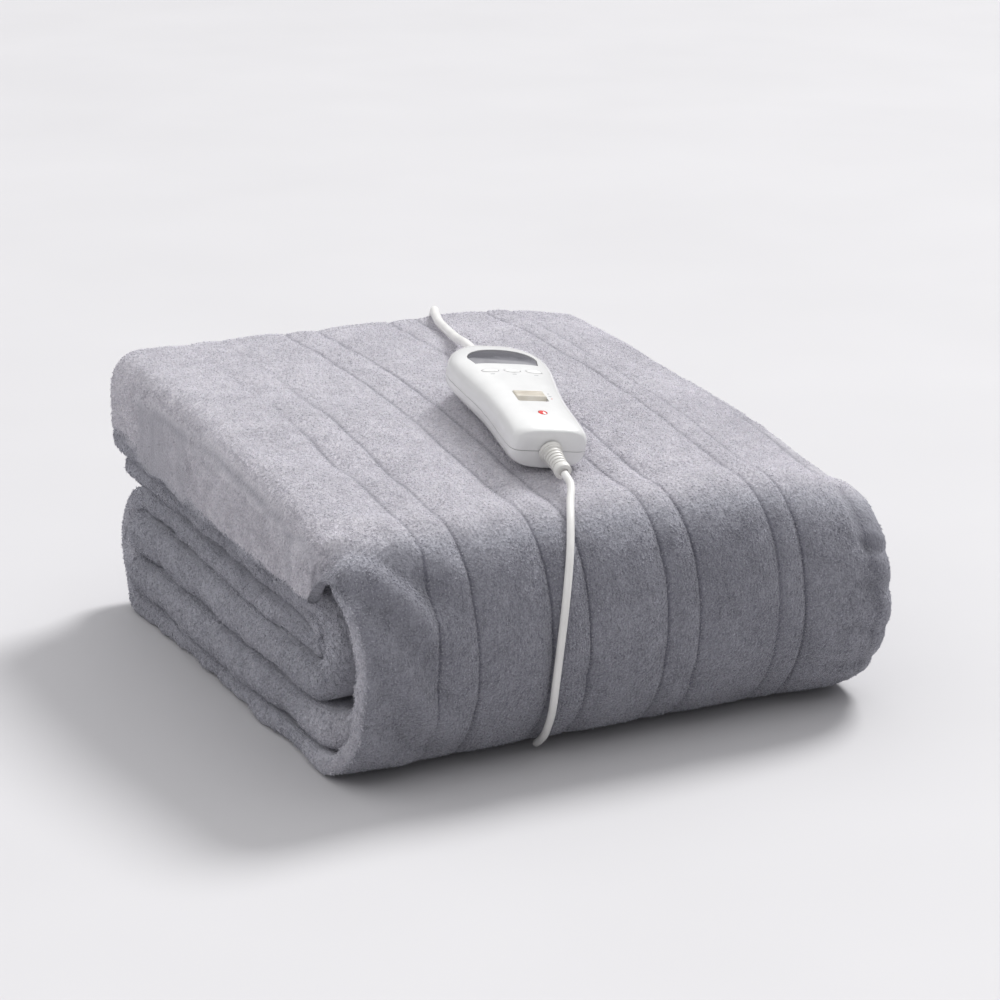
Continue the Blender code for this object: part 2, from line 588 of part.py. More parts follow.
def build_coil(finishes):
    """The wound lead as a turned ring, its tie, and the plug beside it."""
    x, y = COIL_CENTRE
    inner = COIL_MEAN_RADIUS - COIL_ACROSS / 2
    outer = COIL_MEAN_RADIUS + COIL_ACROSS / 2
    section = moved(rounded_box(COIL_ACROSS, COIL_HIGH, MAINS_DIAMETER / 2), (inner + outer) / 2,
                    COIL_BASE + COIL_HIGH / 2)
    bm = bmesh.new()
    count = 32
    rings = []
    for i in range(count):
        turn = math.tau * i / count
        rings.append([bm.verts.new((x + r * math.cos(turn), y + r * math.sin(turn), z))
                      for r, z in section])
    for i in range(count):
        low, high = rings[i], rings[(i + 1) % count]
        for j in range(len(section)):
            after = (j + 1) % len(section)
            bm.faces.new((low[j], low[after], high[after], high[j]))
    add_object("mains_coil", mesh_from(bm, "mains_coil"), finishes["lead"])

    gap = 2 * TIE_ROOM
    inside = rounded_box(COIL_ACROSS + gap, COIL_HIGH + gap, MAINS_DIAMETER / 2)
    outside = rounded_box(COIL_ACROSS + gap + 2 * TIE_THICK, COIL_HIGH + gap + 2 * TIE_THICK,
                          MAINS_DIAMETER / 2 + TIE_THICK)
    bm = bmesh.new()
    faces = ((outside, -1), (outside, 1), (inside, 1), (inside, -1))
    loops = [[bm.verts.new((a, side * TIE_WIDTH / 2, b)) for a, b in outline]
             for outline, side in faces]
    for i in range(len(loops)):
        low, high = loops[i], loops[(i + 1) % len(loops)]
        for j in range(len(low)):
            after = (j + 1) % len(low)
            bm.faces.new((low[j], low[after], high[after], high[j]))
    tie = add_object("coil_tie", mesh_from(bm, "coil_tie"), finishes["tie"])
    tie.location = (x + COIL_MEAN_RADIUS * math.cos(TIE_ANGLE),
                    y + COIL_MEAN_RADIUS * math.sin(TIE_ANGLE), COIL_BASE + COIL_HIGH / 2)
    tie.rotation_euler = (0, 0, TIE_ANGLE)

    lead_x = x + outer + MAINS_DIAMETER / 2 + CLEAR
    lead_z = PLUG_HEIGHT / 2 + CLEAR
    tube("plug_lead", [(lead_x, y, lead_z), (lead_x, y - PLUG_LEAD, lead_z)],
         MAINS_DIAMETER, finishes["lead"])
    back = y - PLUG_LEAD - CLEAR
    bm_rows = ((0.0, PLUG_NECK, 0.80), (0.30, 0.55 * PLUG_WIDTH, 0.94), (0.55, PLUG_WIDTH, 1.0),
               (1.0, PLUG_WIDTH * 0.97, 1.0))
    loops = []
    for share, width, height in bm_rows:
        outline = rounded_box(width, PLUG_HEIGHT * height, PLUG_HEIGHT * 0.3)
        loops.append([Vector((lead_x + px, back - PLUG_LENGTH * share, lead_z + pz))
                      for px, pz in outline])
    add_object("plug_body", loft(loops, "plug_body"), finishes["plug"])
    for name, side in (("left", -1), ("right", 1)):
        pin = turned((Turned(CLEAR, PIN_RADIUS), Turned(PIN_LENGTH - 0.001, PIN_RADIUS),
                      Turned(PIN_LENGTH, PIN_RADIUS * 0.5)), "pin", 16)
        made = add_object(f"plug_pin_{name}", pin, finishes["pin"])
        made.rotation_euler = (math.radians(90), 0, 0)
        made.location = (lead_x + side * PIN_SPACING / 2, back - PLUG_LENGTH, lead_z)


def main():
    clear_scene()
    finishes = {
        "plush": material("plush", (0.42, 0.43, 0.48), 0.95),
        "shell": material("shell", (0.90, 0.90, 0.90), 0.25),
        "window": material("window", (0.28, 0.28, 0.32), 0.12),
        "button": material("button", (0.88, 0.88, 0.88), 0.30),
        "slider": material("slider", (0.85, 0.81, 0.72), 0.35),
        "lamp": material("lamp", (0.75, 0.12, 0.12), 0.25),
        "sleeve": material("sleeve", (0.78, 0.77, 0.75), 0.45),
        "lead": material("lead", (0.90, 0.90, 0.89), 0.40),
        "tie": material("tie", (0.85, 0.85, 0.84), 0.50),
        "plug": material("plug", (0.88, 0.88, 0.88), 0.35),
        "pin": material("pin", (0.80, 0.76, 0.62), 0.25, 1.0),
    }
    build_throw(finishes["plush"])
    place = build_controller(finishes)
    bpy.context.view_layer.update()
    throw_start = sleeve("tail_sleeve", TAIL_SLEEVE, RIBS[0].y, TAIL_DIRECTION,
                         finishes["sleeve"], place)
    mains_start = sleeve("head_sleeve", HEAD_SLEEVE, RIBS[-1].y, HEAD_DIRECTION,
                         finishes["sleeve"], place)
    tube("throw_lead", [*throw_start, *THROW_LEAD_ROUTE], THROW_DIAMETER, finishes["lead"])
    tube("mains_lead", [*mains_start, *MAINS_LEAD_ROUTE], MAINS_DIAMETER, finishes["lead"])
    build_coil(finishes)


main()
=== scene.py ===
# Looks for the folded heated throw: plush cloth, hand controller, leads, floor and light.
# Everything is in metres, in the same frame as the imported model.
import math
import time

import bmesh
import bpy
import numpy as np
from mathutils import Matrix, Vector


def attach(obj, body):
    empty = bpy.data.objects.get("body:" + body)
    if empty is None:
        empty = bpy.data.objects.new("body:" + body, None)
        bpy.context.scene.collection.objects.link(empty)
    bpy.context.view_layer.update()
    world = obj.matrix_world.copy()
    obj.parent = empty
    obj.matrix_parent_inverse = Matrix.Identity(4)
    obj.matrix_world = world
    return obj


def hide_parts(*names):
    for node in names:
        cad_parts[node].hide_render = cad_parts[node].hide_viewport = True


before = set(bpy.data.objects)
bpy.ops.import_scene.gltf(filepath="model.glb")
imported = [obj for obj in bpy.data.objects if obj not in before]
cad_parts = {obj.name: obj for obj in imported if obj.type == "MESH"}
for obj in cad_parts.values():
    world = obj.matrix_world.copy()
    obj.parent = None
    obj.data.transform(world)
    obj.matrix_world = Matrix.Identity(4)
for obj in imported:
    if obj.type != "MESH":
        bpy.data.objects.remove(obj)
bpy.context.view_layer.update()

started = time.time()


def say(stage):
    print(f"[{time.time() - started:6.1f} s] {stage}", flush=True)


# small tools that several pieces share

def addObject(name, data, finish, body="throw", smooth=True):
    made = bpy.data.objects.new(name, data)
    bpy.context.scene.collection.objects.link(made)
    data.materials.append(finish)
    if smooth and isinstance(data, bpy.types.Mesh):
        data.shade_smooth()
    if body:
        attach(made, body)
    return made


def meshFromLoops(name, loops, caps=True):
    # skins closed loops of equal length, in order
    bm = bmesh.new()
    rings = [[bm.verts.new(point) for point in loop] for loop in loops]
    count = len(rings[0])
    for low, high in zip(rings, rings[1:]):
        for i in range(count):
            bm.faces.new((low[i], low[(i + 1) % count], high[(i + 1) % count], high[i]))
    if caps:
        bm.faces.new(rings[0][::-1])
        bm.faces.new(rings[-1])
    bmesh.ops.recalc_face_normals(bm, faces=bm.faces)
    data = bpy.data.meshes.new(name)
    bm.to_mesh(data)
    bm.free()
    return data


def meshFromArrays(name, points, faces):
    # points (n, 3) and faces (m, 3 or 4) as numpy arrays
    data = bpy.data.meshes.new(name)
    sides = faces.shape[1]
    data.vertices.add(len(points))
    data.vertices.foreach_set("co", np.ascontiguousarray(points, np.float32).ravel())
    data.loops.add(faces.size)
    data.loops.foreach_set("vertex_index", np.ascontiguousarray(faces, np.int32).ravel())
    data.polygons.add(len(faces))
    data.polygons.foreach_set("loop_start", np.arange(0, faces.size, sides, dtype=np.int32))
    data.update(calc_edges=True)
    return data


def revolve(name, rows, sides=40):
    # rows of (along, radius), turned about +Z
    turns = [math.tau * i / sides for i in range(sides)]
    return meshFromLoops(name, [[Vector((r * math.cos(a), r * math.sin(a), along)) for a in turns]
                                for along, r in rows])


def finishFor(name, colour, roughness, metallic=0.0, **constants):
    made = bpy.data.materials.new(name)
    made.use_nodes = True
    shader = made.node_tree.nodes["Principled BSDF"]
    shader.inputs["Base Color"].default_value = (*colour, 1.0)
    shader.inputs["Roughness"].default_value = roughness
    shader.inputs["Metallic"].default_value = metallic
    for socket, value in constants.items():
        shader.inputs[socket].default_value = value
    return made


def startFinish(name, colour, roughness, metallic=0.0, **constants):
    # the material with its shader and its own coordinates, ready for textures
    made = finishFor(name, colour, roughness, metallic, **constants)
    shader = made.node_tree.nodes["Principled BSDF"]
    return made, shader, addNode(made, "ShaderNodeTexCoord").outputs["Object"]


def addNode(finish, kind, **settings):
    node = finish.node_tree.nodes.new(kind)
    for key, value in settings.items():
        if key in node.inputs:
            node.inputs[key].default_value = value
        else:
            setattr(node, key, value)
    return node


def link(finish, source, target):
    finish.node_tree.links.new(source, target)


def noiseNode(finish, coords, scale, detail=3.0, roughness=0.55):
    node = addNode(finish, "ShaderNodeTexNoise", Scale=scale, Detail=detail, Roughness=roughness)
    link(finish, coords, node.inputs["Vector"])
    return node


def rampNode(finish, factor, stops):
    # stops are (place, colour) rows, dark to light
    node = addNode(finish, "ShaderNodeValToRGB")
    while len(node.color_ramp.elements) < len(stops):
        node.color_ramp.elements.new(0.5)
    for element, (place, colour) in zip(node.color_ramp.elements, stops):
        element.position = place
        element.color = (*colour, 1.0)
    link(finish, factor, node.inputs["Fac"])
    return node


def bumpNode(finish, height, strength, distance, under=None):
    node = addNode(finish, "ShaderNodeBump", Strength=strength, Distance=distance)
    link(finish, height, node.inputs["Height"])
    if under:
        link(finish, under.outputs["Normal"], node.inputs["Normal"])
    return node


def dress(finish, shader, tone, bump):
    link(finish, tone, shader.inputs["Base Color"])
    link(finish, bump.outputs["Normal"], shader.inputs["Normal"])


def roughBetween(finish, shader, factor, low, high):
    node = addNode(finish, "ShaderNodeMapRange")
    node.inputs["To Min"].default_value = low
    node.inputs["To Max"].default_value = high
    link(finish, factor, node.inputs["Value"])
    link(finish, node.outputs["Result"], shader.inputs["Roughness"])


# camera

cameraLook = {
    "place": (-0.8907, -1.8058, 0.7319),
    "aim": (0.0245, 0.0148, 0.1035),
    "lens": 108.0,
    "sensor": 36.0,
}


def makeCamera(look):
    data = bpy.data.cameras.new("camera")
    data.lens = look["lens"]
    data.sensor_width = look["sensor"]
    made = bpy.data.objects.new("camera", data)
    bpy.context.scene.collection.objects.link(made)
    made.location = look["place"]
    toward = Vector(look["aim"]) - Vector(look["place"])
    made.rotation_euler = toward.to_track_quat("-Z", "Y").to_euler()
    bpy.context.scene.camera = made


makeCamera(cameraLook)
say("camera in place")


# leads

mainsLead = {
    "diameter": 0.0068,
    "colour": (0.80, 0.79, 0.77),
    "route": (
        (0.0146, 0.0364, 0.2090), (0.0173, 0.0529, 0.2094), (0.0278, 0.0810, 0.2040),
        (0.0365, 0.1055, 0.1990), (0.0428, 0.1275, 0.1965), (0.0472, 0.1480, 0.1960),
        (0.0523, 0.1710, 0.1959), (0.0595, 0.1925, 0.1960), (0.0658, 0.2080, 0.1958),
        (0.0705, 0.2195, 0.1908), (0.0722, 0.2262, 0.1790), (0.0724, 0.2285, 0.1620),
        (0.0722, 0.2286, 0.1050), (0.0722, 0.2290, 0.0620), (0.0722, 0.2330, 0.0310),
        (0.0722, 0.2440, 0.0120), (0.0722, 0.2610, 0.0050), (0.0722, 0.2800, 0.0037),
    ),
    "coilCentre": (0.1216, 0.3160),
    "coilRadius": 5.25,          # in diameters, to the middle of the turns
    "coilFloor": 0.0019,
    "trackPitch": 1.02,          # in diameters, between neighbouring turns
    "plugSide": 0.0496,          # from the coil's centre to the lead at the plug
    "plugHeight": 0.00715,
    "plugLead": 0.0160,
}

throwLead = {
    "diameter": 0.0052,
    "route": (
        (-0.0139, -0.1550, 0.1734), (-0.0157, -0.1673, 0.1694), (-0.0225, -0.1795, 0.1628),
        (-0.0300, -0.1940, 0.1546), (-0.0375, -0.2080, 0.1415), (-0.0440, -0.2178, 0.1262),
        (-0.0500, -0.2248, 0.1060), (-0.0545, -0.2276, 0.0830), (-0.0562, -0.2258, 0.0620),
        (-0.0552, -0.2180, 0.0370), (-0.0537, -0.2060, 0.0180), (-0.0527, -0.1965, 0.0094),
        (-0.0520, -0.1900, 0.0051),
    ),
}


def splineThrough(points, steps):
    # Catmull-Rom curve through the given points
    points = [Vector(p) for p in points]
    ends = [2 * points[0] - points[1]] + points + [2 * points[-1] - points[-2]]
    made = []
    for a, b, c, d in zip(ends, ends[1:], ends[2:], ends[3:]):
        for i in range(steps):
            t = i / steps
            made.append(0.5 * (2 * b + (c - a) * t + (2 * a - 5 * b + 4 * c - d) * t * t
                               + (3 * b - a - 3 * c + d) * t ** 3))
    made.append(points[-1])
    return made


def smoothRoute(points, spacing):
    # the same curve in even steps
    dense = splineThrough(points, 16)
    run = np.cumsum([0.0] + [(b - a).length for a, b in zip(dense, dense[1:])])
    count = max(round(run[-1] / spacing), 2)
    table = np.array(dense)
    wanted = np.linspace(0, run[-1], count + 1)
    return [Vector([np.interp(w, run, table[:, k]) for k in range(3)]) for w in wanted]


def easeBetween(value, low, high):
    share = min(max((value - low) / (high - low), 0.0), 1.0)
    return share * share * (3 - 2 * share)


def coilPoints(lead):
    # clockwise from the left of the coil: three turns inward below, three outward above
    d = lead["diameter"]
    step = lead["trackPitch"] * d
    middle = lead["coilRadius"] * d
    startRadius = lead["coilCentre"][0] - lead["route"][-1][0]
    floor = lead["coilFloor"] + d / 2
    shift = math.radians(50)
    firstShift = math.radians(210)
    total = 5.5 * math.tau
    points = []
    for i in range(1, int(total / math.radians(6)) + 1):
        turn = math.radians(6) * i
        done = [easeBetween(turn, firstShift + k * math.tau, firstShift + k * math.tau + shift)
                for k in range(5)]
        radius = middle + step * (1 - done[0] - done[1] + done[3] + done[4])
        radius += (startRadius - middle - step) * (1 - easeBetween(turn, 0, math.radians(60)))
        outward = easeBetween(turn, total - math.radians(85), total - math.radians(30))
        radius += (lead["plugSide"] - middle - step) * outward
        height = floor + step * done[2]
        height += (lead["plugHeight"] - floor - step) * easeBetween(turn, total - math.radians(50), total)
        height += (lead["route"][-1][2] - floor) * (1 - easeBetween(turn, 0, math.radians(40)))
        angle = math.pi - turn
        points.append((lead["coilCentre"][0] + radius * math.cos(angle),
                       lead["coilCentre"][1] + radius * math.sin(angle), height))
    return points


def makeLead(name, points, diameter, finish):
    data = bpy.data.curves.new(name, "CURVE")
    data.dimensions = "3D"
    data.bevel_depth = diameter / 2
    data.bevel_resolution = 5
    data.use_fill_caps = True
    spline = data.splines.new("POLY")
    spline.points.add(len(points) - 1)
    for point, place in zip(spline.points, points):
        point.co = (*place, 1.0)
    return addObject(name, data, finish, smooth=False)


def leadFinish():
    # satin cord cover with faint extrusion marks and a little handling dirt
    made, shader, coords = startFinish("leadCover", mainsLead["colour"], 0.38, **{
        "Specular IOR Level": 0.45, "Coat Weight": 0.12, "Coat Roughness": 0.3})
    marks = noiseNode(made, coords, 900.0, 2.0)
    dirt = noiseNode(made, coords, 45.0, 4.0)
    shade = rampNode(made, dirt.outputs["Fac"], ((0.30, (0.74, 0.73, 0.71)), (0.62, (0.84, 0.83, 0.81))))
    roughBetween(made, shader, dirt.outputs["Fac"], 0.30, 0.48)
    dress(made, shader, shade.outputs["Color"], bumpNode(made, marks.outputs["Fac"], 0.12, 0.0002))
    return made


coverFinish = leadFinish()
mainsPath = smoothRoute(mainsLead["route"], 0.0045)[:-1]
coilStart = Vector((mainsLead["route"][-1][0], mainsLead["coilCentre"][1], mainsLead["route"][-1][2]))
mainsPath += [Vector(p) for p in smoothRoute([mainsLead["route"][-1], coilStart], 0.0045)]
mainsPath += [Vector(p) for p in coilPoints(mainsLead)]
mainsPath.append(mainsPath[-1] - Vector((0, mainsLead["plugLead"] * 0.5, 0)))
mainsPath.append(mainsPath[-1] - Vector((0, mainsLead["plugLead"] * 0.5, 0)))
clothPart = 110                  # the points of the mains lead that pass near the cloth
mainsCord = makeLead("mainsCord", mainsPath, mainsLead["diameter"], coverFinish)
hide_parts("mains_lead", "mains_coil", "plug_lead")

throwPath = smoothRoute(throwLead["route"], 0.004)
throwCord = makeLead("throwCord", throwPath, throwLead["diameter"], coverFinish)
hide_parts("throw_lead")
say("leads laid")


# folded cloth

cloth = {
    "ply": 0.0124,
    "plyGap": 0.0013,
    "groupGap": 0.0012,
    "flapRadius": 0.016,
    "flapFull": 0.020,
    "fallStart": 0.105,
    "backFullness": 0.18,
    "fullness": ((-0.160, 0.00), (-0.108, 0.20), (-0.048, 0.50), (0.026, 0.79), (0.100, 0.94),
                 (0.174, 1.00)),
    "flat": (1.12, 1.68),        # metres, before it was folded
    "leftmost": -0.2045,         # the hem never swings out past this
    "gather": 0.0013,            # fine and broad gathers where the layers turn over
    "broadGather": 0.0026,
    "settle": 0.014,             # the relief dies out over this length at both free ends
    "grooveLimit": 0.003,        # how deep a lead may press into the pile
    "leadRoom": 0.0007,
    "floorRoom": 0.0004,
    "headLift": (0.0042, 0.002, 0.000, 0.034, 0.045),    # height, x, y, then reach in x and in y
    "tailPress": (0.0016, -0.008, -0.115, 0.034, 0.035),
}
endSpacing = 0.0046              # metres from a channel to the first evenly spaced point
pitch = cloth["ply"] + cloth["plyGap"]
strip = 3 * cloth["ply"] + 2 * cloth["plyGap"]
backBulge = ((1 + cloth["backFullness"]) * strip + cloth["groupGap"]) / 2
innerBulge = (strip + cloth["groupGap"]) / 2

# each stretch of the folded strip: leg and y at its start and end, how far a turn swings out, and
# how many steps it is made with
stretches = (
    ((3, 0.214), (3, -0.160), 0.0, 108),
    ((3, -0.160), (0, -0.160), -0.044, 72),
    ((0, -0.160), (0, 0.1745), 0.0, 52),
    ((0, 0.1745), (1, 0.1745), backBulge, 22),
    ((1, 0.1745), (1, -0.136), 0.0, 58),
    ((1, -0.136), (2, -0.136), -innerBulge, 18),
    ((2, -0.136), (2, 0.220), 0.0, 66),
)

# place along the strip in stretches, then left, hem, flap, right, tuck and fall, in metres
edgeRows = np.array((
    (0.00, -0.186, -0.197, 0.024, 0.190, 0.122, 0.012),
    (0.30, -0.188, -0.200, 0.030, 0.193, 0.124, 0.014),
    (0.65, -0.186, -0.202, 0.030, 0.197, 0.126, 0.016),
    (0.95, -0.176, -0.202, 0.024, 0.200, 0.128, 0.017),
    (1.22, -0.150, -0.199, 0.012, 0.202, 0.130, 0.014),
    (1.45, -0.152, -0.194, 0.001, 0.202, 0.132, 0.009),
    (1.70, -0.176, -0.195, 0.000, 0.200, 0.130, 0.004),
    (2.00, -0.192, -0.198, 0.000, 0.198, 0.128, 0.000),
    (2.50, -0.197, -0.195, 0.000, 0.195, 0.124, 0.000),
    (3.00, -0.197, -0.193, 0.000, 0.192, 0.122, 0.000),
    (3.50, -0.196, -0.191, 0.000, 0.190, 0.122, 0.004),
    (4.00, -0.195, -0.189, 0.000, 0.192, 0.124, 0.008),
    (4.50, -0.196, -0.191, 0.000, 0.195, 0.126, 0.008),
    (5.00, -0.192, -0.188, 0.000, 0.197, 0.128, 0.008),
    (5.50, -0.186, -0.182, 0.000, 0.197, 0.128, 0.008),
    (6.00, -0.190, -0.185, 0.000, 0.196, 0.126, 0.008),
    (6.50, -0.194, -0.188, 0.000, 0.193, 0.122, 0.008),
    (7.00, -0.192, -0.186, 0.000, 0.189, 0.118, 0.008),
))

# heater channels sewn along the throw: x, depth, and how far back each one stays sharp (y)
channels = (
    (-0.1985, 0.0020, 0.20), (-0.1367, 0.0024, 0.02), (-0.1093, 0.0026, 0.08),
    (-0.0561, 0.0030, 0.24), (-0.0294, 0.0030, 0.24), (0.0281, 0.0030, 0.24),
    (0.0510, 0.0030, 0.24), (0.1111, 0.0030, 0.24), (0.1310, 0.0030, 0.24),
    (0.1861, 0.0026, 0.10),
)
channelLook = {
    "width": 0.0010,             # of the stitched line itself
    "valley": 0.0060,            # of the dip on both sides of it
    "puff": 0.0018,              # how far the cloth rises between two channels
    "reach": 0.016,              # and how far from a channel it is fully risen
    "drop": 0.0006,
    "wander": 0.0014,
    "seam": 0.0013,              # width of the parted pile and of the painted shade along it
}

# creases pressed into the outer face: start and end as (place along, x), depth and width in metres
creases = (
    ((1.06, -0.192), (1.36, -0.118), 0.0060, 0.0090),
    ((1.22, -0.190), (1.52, -0.142), 0.0050, 0.0080),
    ((1.40, -0.186), (1.78, -0.150), 0.0040, 0.0085),
    ((0.97, -0.190), (1.12, -0.150), 0.0040, 0.0075),
    ((1.62, -0.190), (1.80, -0.120), 0.0030, 0.0080),
    ((1.50, -0.150), (1.68, -0.112), 0.0026, 0.0060),
    ((1.30, 0.176), (1.34, 0.200), 0.0028, 0.0040),
    ((1.44, 0.172), (1.46, 0.200), 0.0028, 0.0040),
    ((1.56, 0.150), (1.60, 0.200), 0.0026, 0.0045),
    ((1.70, 0.140), (1.73, 0.200), 0.0028, 0.0045),
    ((1.58, -0.060), (1.62, -0.020), 0.0014, 0.0060),
    ((1.50, 0.070), (1.56, 0.100), 0.0014, 0.0060),
    ((1.66, 0.030), (1.70, 0.080), 0.0014, 0.0060),
    ((0.30, -0.170), (0.48, -0.060), 0.0020, 0.0110),
    ((0.62, -0.180), (0.80, -0.110), 0.0024, 0.0110),
    ((0.40, 0.150), (0.52, 0.180), 0.0018, 0.0100),
)


def ease(share):
    share = np.clip(share, 0.0, 1.0)
    return share * share * (3 - 2 * share)


def ripple(u, v, scale, seed):
    # smooth random surface in -1..1, with bumps about scale across
    dice = np.random.default_rng(seed)
    grid = dice.uniform(-1, 1, (64, 64))
    a, b = np.asarray(u) / scale, np.asarray(v) / scale
    i, j = np.floor(a).astype(int), np.floor(b).astype(int)
    s, t = ease(a - i), ease(b - j)
    i0, i1, j0, j1 = i % 64, (i + 1) % 64, j % 64, (j + 1) % 64
    low = grid[i0, j0] * (1 - s) + grid[i1, j0] * s
    high = grid[i0, j1] * (1 - s) + grid[i1, j1] * s
    return low * (1 - t) + high * t


def edgeAt(at):
    after = int(np.searchsorted(edgeRows[:, 0], min(at, 7.0)))
    if after == 0:
        return edgeRows[0, 1:]
    low, high = edgeRows[after - 1], edgeRows[after]
    return low[1:] + (high[1:] - low[1:]) * float(ease((at - low[0]) / (high[0] - low[0])))


def fullnessAt(y):
    rows = cloth["fullness"]
    rises = [(b[1] - a[1]) / (b[0] - a[0]) for a, b in zip(rows, rows[1:])]
    slopes = [0.0] + [(a + b) / 2 for a, b in zip(rises, rises[1:])] + [0.0]
    y = min(max(y, rows[0][0]), rows[-1][0])
    i = next(i for i, row in enumerate(rows[1:]) if y <= row[0])
    (y0, low), (y1, high) = rows[i], rows[i + 1]
    gap = y1 - y0
    t = (y - y0) / gap
    begin, finish = slopes[i] * gap, slopes[i + 1] * gap
    bend = begin + finish - 2 * (high - low)
    share = low + begin * t + (high - low - begin - bend) * t * t + bend * t ** 3
    slope = (begin + 2 * (high - low - begin - bend) * t + 3 * bend * t * t) / gap
    return 1 + cloth["backFullness"] * share, cloth["backFullness"] * slope


def legHeight(leg, y):
    full, slope = fullnessAt(y)
    return (leg + 0.5) * strip * full + leg * cloth["groupGap"], (leg + 0.5) * strip * slope


def routePoint(at):
    # (y, z) of the strip's middle and its direction, at a place counted in stretches
    index = min(int(at), len(stretches) - 1)
    share = at - index
    (leg0, y0), (leg1, y1), bulge, steps = stretches[index]
    if bulge:
        turn = math.pi * share
        z0, z1 = legHeight(leg0, y0)[0], legHeight(leg1, y1)[0]
        y = y0 + bulge * math.sin(turn)
        z = (z0 + z1) / 2 + (z0 - z1) / 2 * math.cos(turn)
        return y, z, bulge * math.pi * math.cos(turn), -(z0 - z1) / 2 * math.pi * math.sin(turn)
    y = y0 + (y1 - y0) * share
    z, slope = legHeight(leg0, y)
    return y, z, y1 - y0, slope * (y1 - y0)


def outerPlaces():
    # x of the outer layer's points: close together beside a channel, wider apart between them
    near = (-endSpacing, -0.0022, -0.0011, -0.0004, 0.0004, 0.0011, 0.0022, endSpacing)
    sewn = [row[0] for row in channels if -0.17 < row[0] < 0.17]
    made = [place + step for place in sewn for step in near]
    stops = [-0.176] + sewn + [0.176]
    for low, high in zip(stops, stops[1:]):
        first, last = low + endSpacing, high - endSpacing
        count = max(round((last - first) / 0.0056), 1)
        made += [first + (last - first) * i / count for i in range(1, count)]
    return np.array(sorted(made))


outerX = outerPlaces()
outlineSteps = {"outer": len(outerX), "turn": 12, "middle": 16, "inner": 14, "hem": 7, "flap": 6}


def stripLine(edge):
    # middle line of the three layers as rows of (x, out, along x for the sewn lines)
    left, hem, flap, right, tuck = edge[:5]
    radius, full = cloth["flapRadius"], cloth["flapFull"]
    flap = max(flap, 0.006)
    bend = math.radians(90) * min(max(flap - 0.006, 0.0008) / (full - 0.006), 1.0)
    roundIn = cloth["ply"] / 2
    levelX = hem + roundIn + radius * math.sin(bend) + flap * math.cos(bend)
    bendX, bendOut = levelX - radius * math.sin(bend), pitch - radius * (1 - math.cos(bend))
    line = []
    for i in range(outlineSteps["hem"]):
        gone = flap * (1 - i / outlineSteps["hem"])
        line.append((bendX - gone * math.cos(bend), bendOut - gone * math.sin(bend)))
    for i in range(outlineSteps["flap"]):
        turn = bend * (1 - i / outlineSteps["flap"])
        line.append((levelX - radius * math.sin(turn), pitch - radius * (1 - math.cos(turn))))
    rightCentre = right - roundIn - pitch / 2
    leftCentre = left + roundIn + pitch / 2
    # only the ends of the layer stretch with its edges, so the channels stay where they are sewn
    shift = (levelX + 0.001 - outerX[0]) * ease((-0.139 - outerX) / 0.035)
    shift += (rightCentre - 0.001 - outerX[-1]) * ease((outerX - 0.134) / 0.040)
    for x in outerX + shift:
        line.append((x, pitch))
    for i in range(outlineSteps["turn"]):
        turn = math.pi * i / outlineSteps["turn"]
        line.append((rightCentre + pitch / 2 * math.sin(turn), pitch / 2 * (1 + math.cos(turn))))
    for i in range(outlineSteps["middle"]):
        line.append((rightCentre + (leftCentre - rightCentre) * i / outlineSteps["middle"], 0.0))
    for i in range(outlineSteps["turn"]):
        turn = math.pi * i / outlineSteps["turn"]
        line.append((leftCentre - pitch / 2 * math.sin(turn), -pitch / 2 * (1 - math.cos(turn))))
    for i in range(outlineSteps["inner"] + 1):
        line.append((leftCentre + (tuck - leftCentre) * i / outlineSteps["inner"], -pitch))
    return np.array(line)


def innerSide(line):
    # the same line with its long outer layer thinned out, for the hidden side of the cloth
    first = outlineSteps["hem"] + outlineSteps["flap"]
    last = first + outlineSteps["outer"]
    kept = list(range(0, first)) + list(range(first, last, 6)) + list(range(last, len(line)))
    return kept


def stripOutline(edge, thickness):
    line = stripLine(edge)
    along = np.gradient(line, axis=0)
    along /= np.linalg.norm(along, axis=1)[:, None]
    across = np.stack([-along[:, 1], along[:, 0]], axis=1) * thickness / 2
    upper = line + across
    lower = (line - across)[innerSide(line)]
    ends = []
    for end, way in ((0, -1), (len(line) - 1, 1)):
        # half-round free edges
        arc = [math.radians(a) for a in (54, 18, -18, -54)]
        reach = thickness / 2 * 0.8
        ends.append([line[end] + across[end] * math.sin(a) + along[end] * way * reach * math.cos(a)
                     for a in arc])
    start = np.array(ends[0])[::-1]
    finish = np.array(ends[1])
    return np.concatenate([upper, finish, lower[::-1], start]), len(upper)


def stripStations():
    stations = []
    for index, (start, end, bulge, steps) in enumerate(stretches):
        stations += [(index + i / steps, 1.0) for i in range(0 if index == 0 else 1, steps + 1)]
    firstLength = abs(stretches[0][1][1] - stretches[0][0][1])
    lastLength = abs(stretches[-1][1][1] - stretches[-1][0][1])
    rounding = [(0.0, 0.16), (0.06, 0.45), (0.18, 0.72), (0.34, 0.90)]
    start = [(inset * cloth["ply"] / firstLength, share) for inset, share in rounding]
    end = [(7 - inset * cloth["ply"] / lastLength, share) for inset, share in rounding]
    inside = [s for s in stations if start[-1][0] < s[0] < end[-1][0]]
    return start + inside + end[::-1]


def channelPlace(place, s):
    return place + channelLook["wander"] * ripple(s, np.full_like(s, place * 40), 0.07, 11)


def channelFade(at, y, sharpTo):
    return np.where(at < 1.0, 1 - 0.8 * ease((y - sharpTo + 0.06) / 0.10), 1.0)


def wandered(x, s):
    # the outer layer's points move with the channels beside them
    moved = np.zeros_like(x)
    for place, depth, sharpTo in channels:
        moved += (channelPlace(place, s) - place) * np.exp(-((x - place) / 0.008) ** 2)
    return x + moved


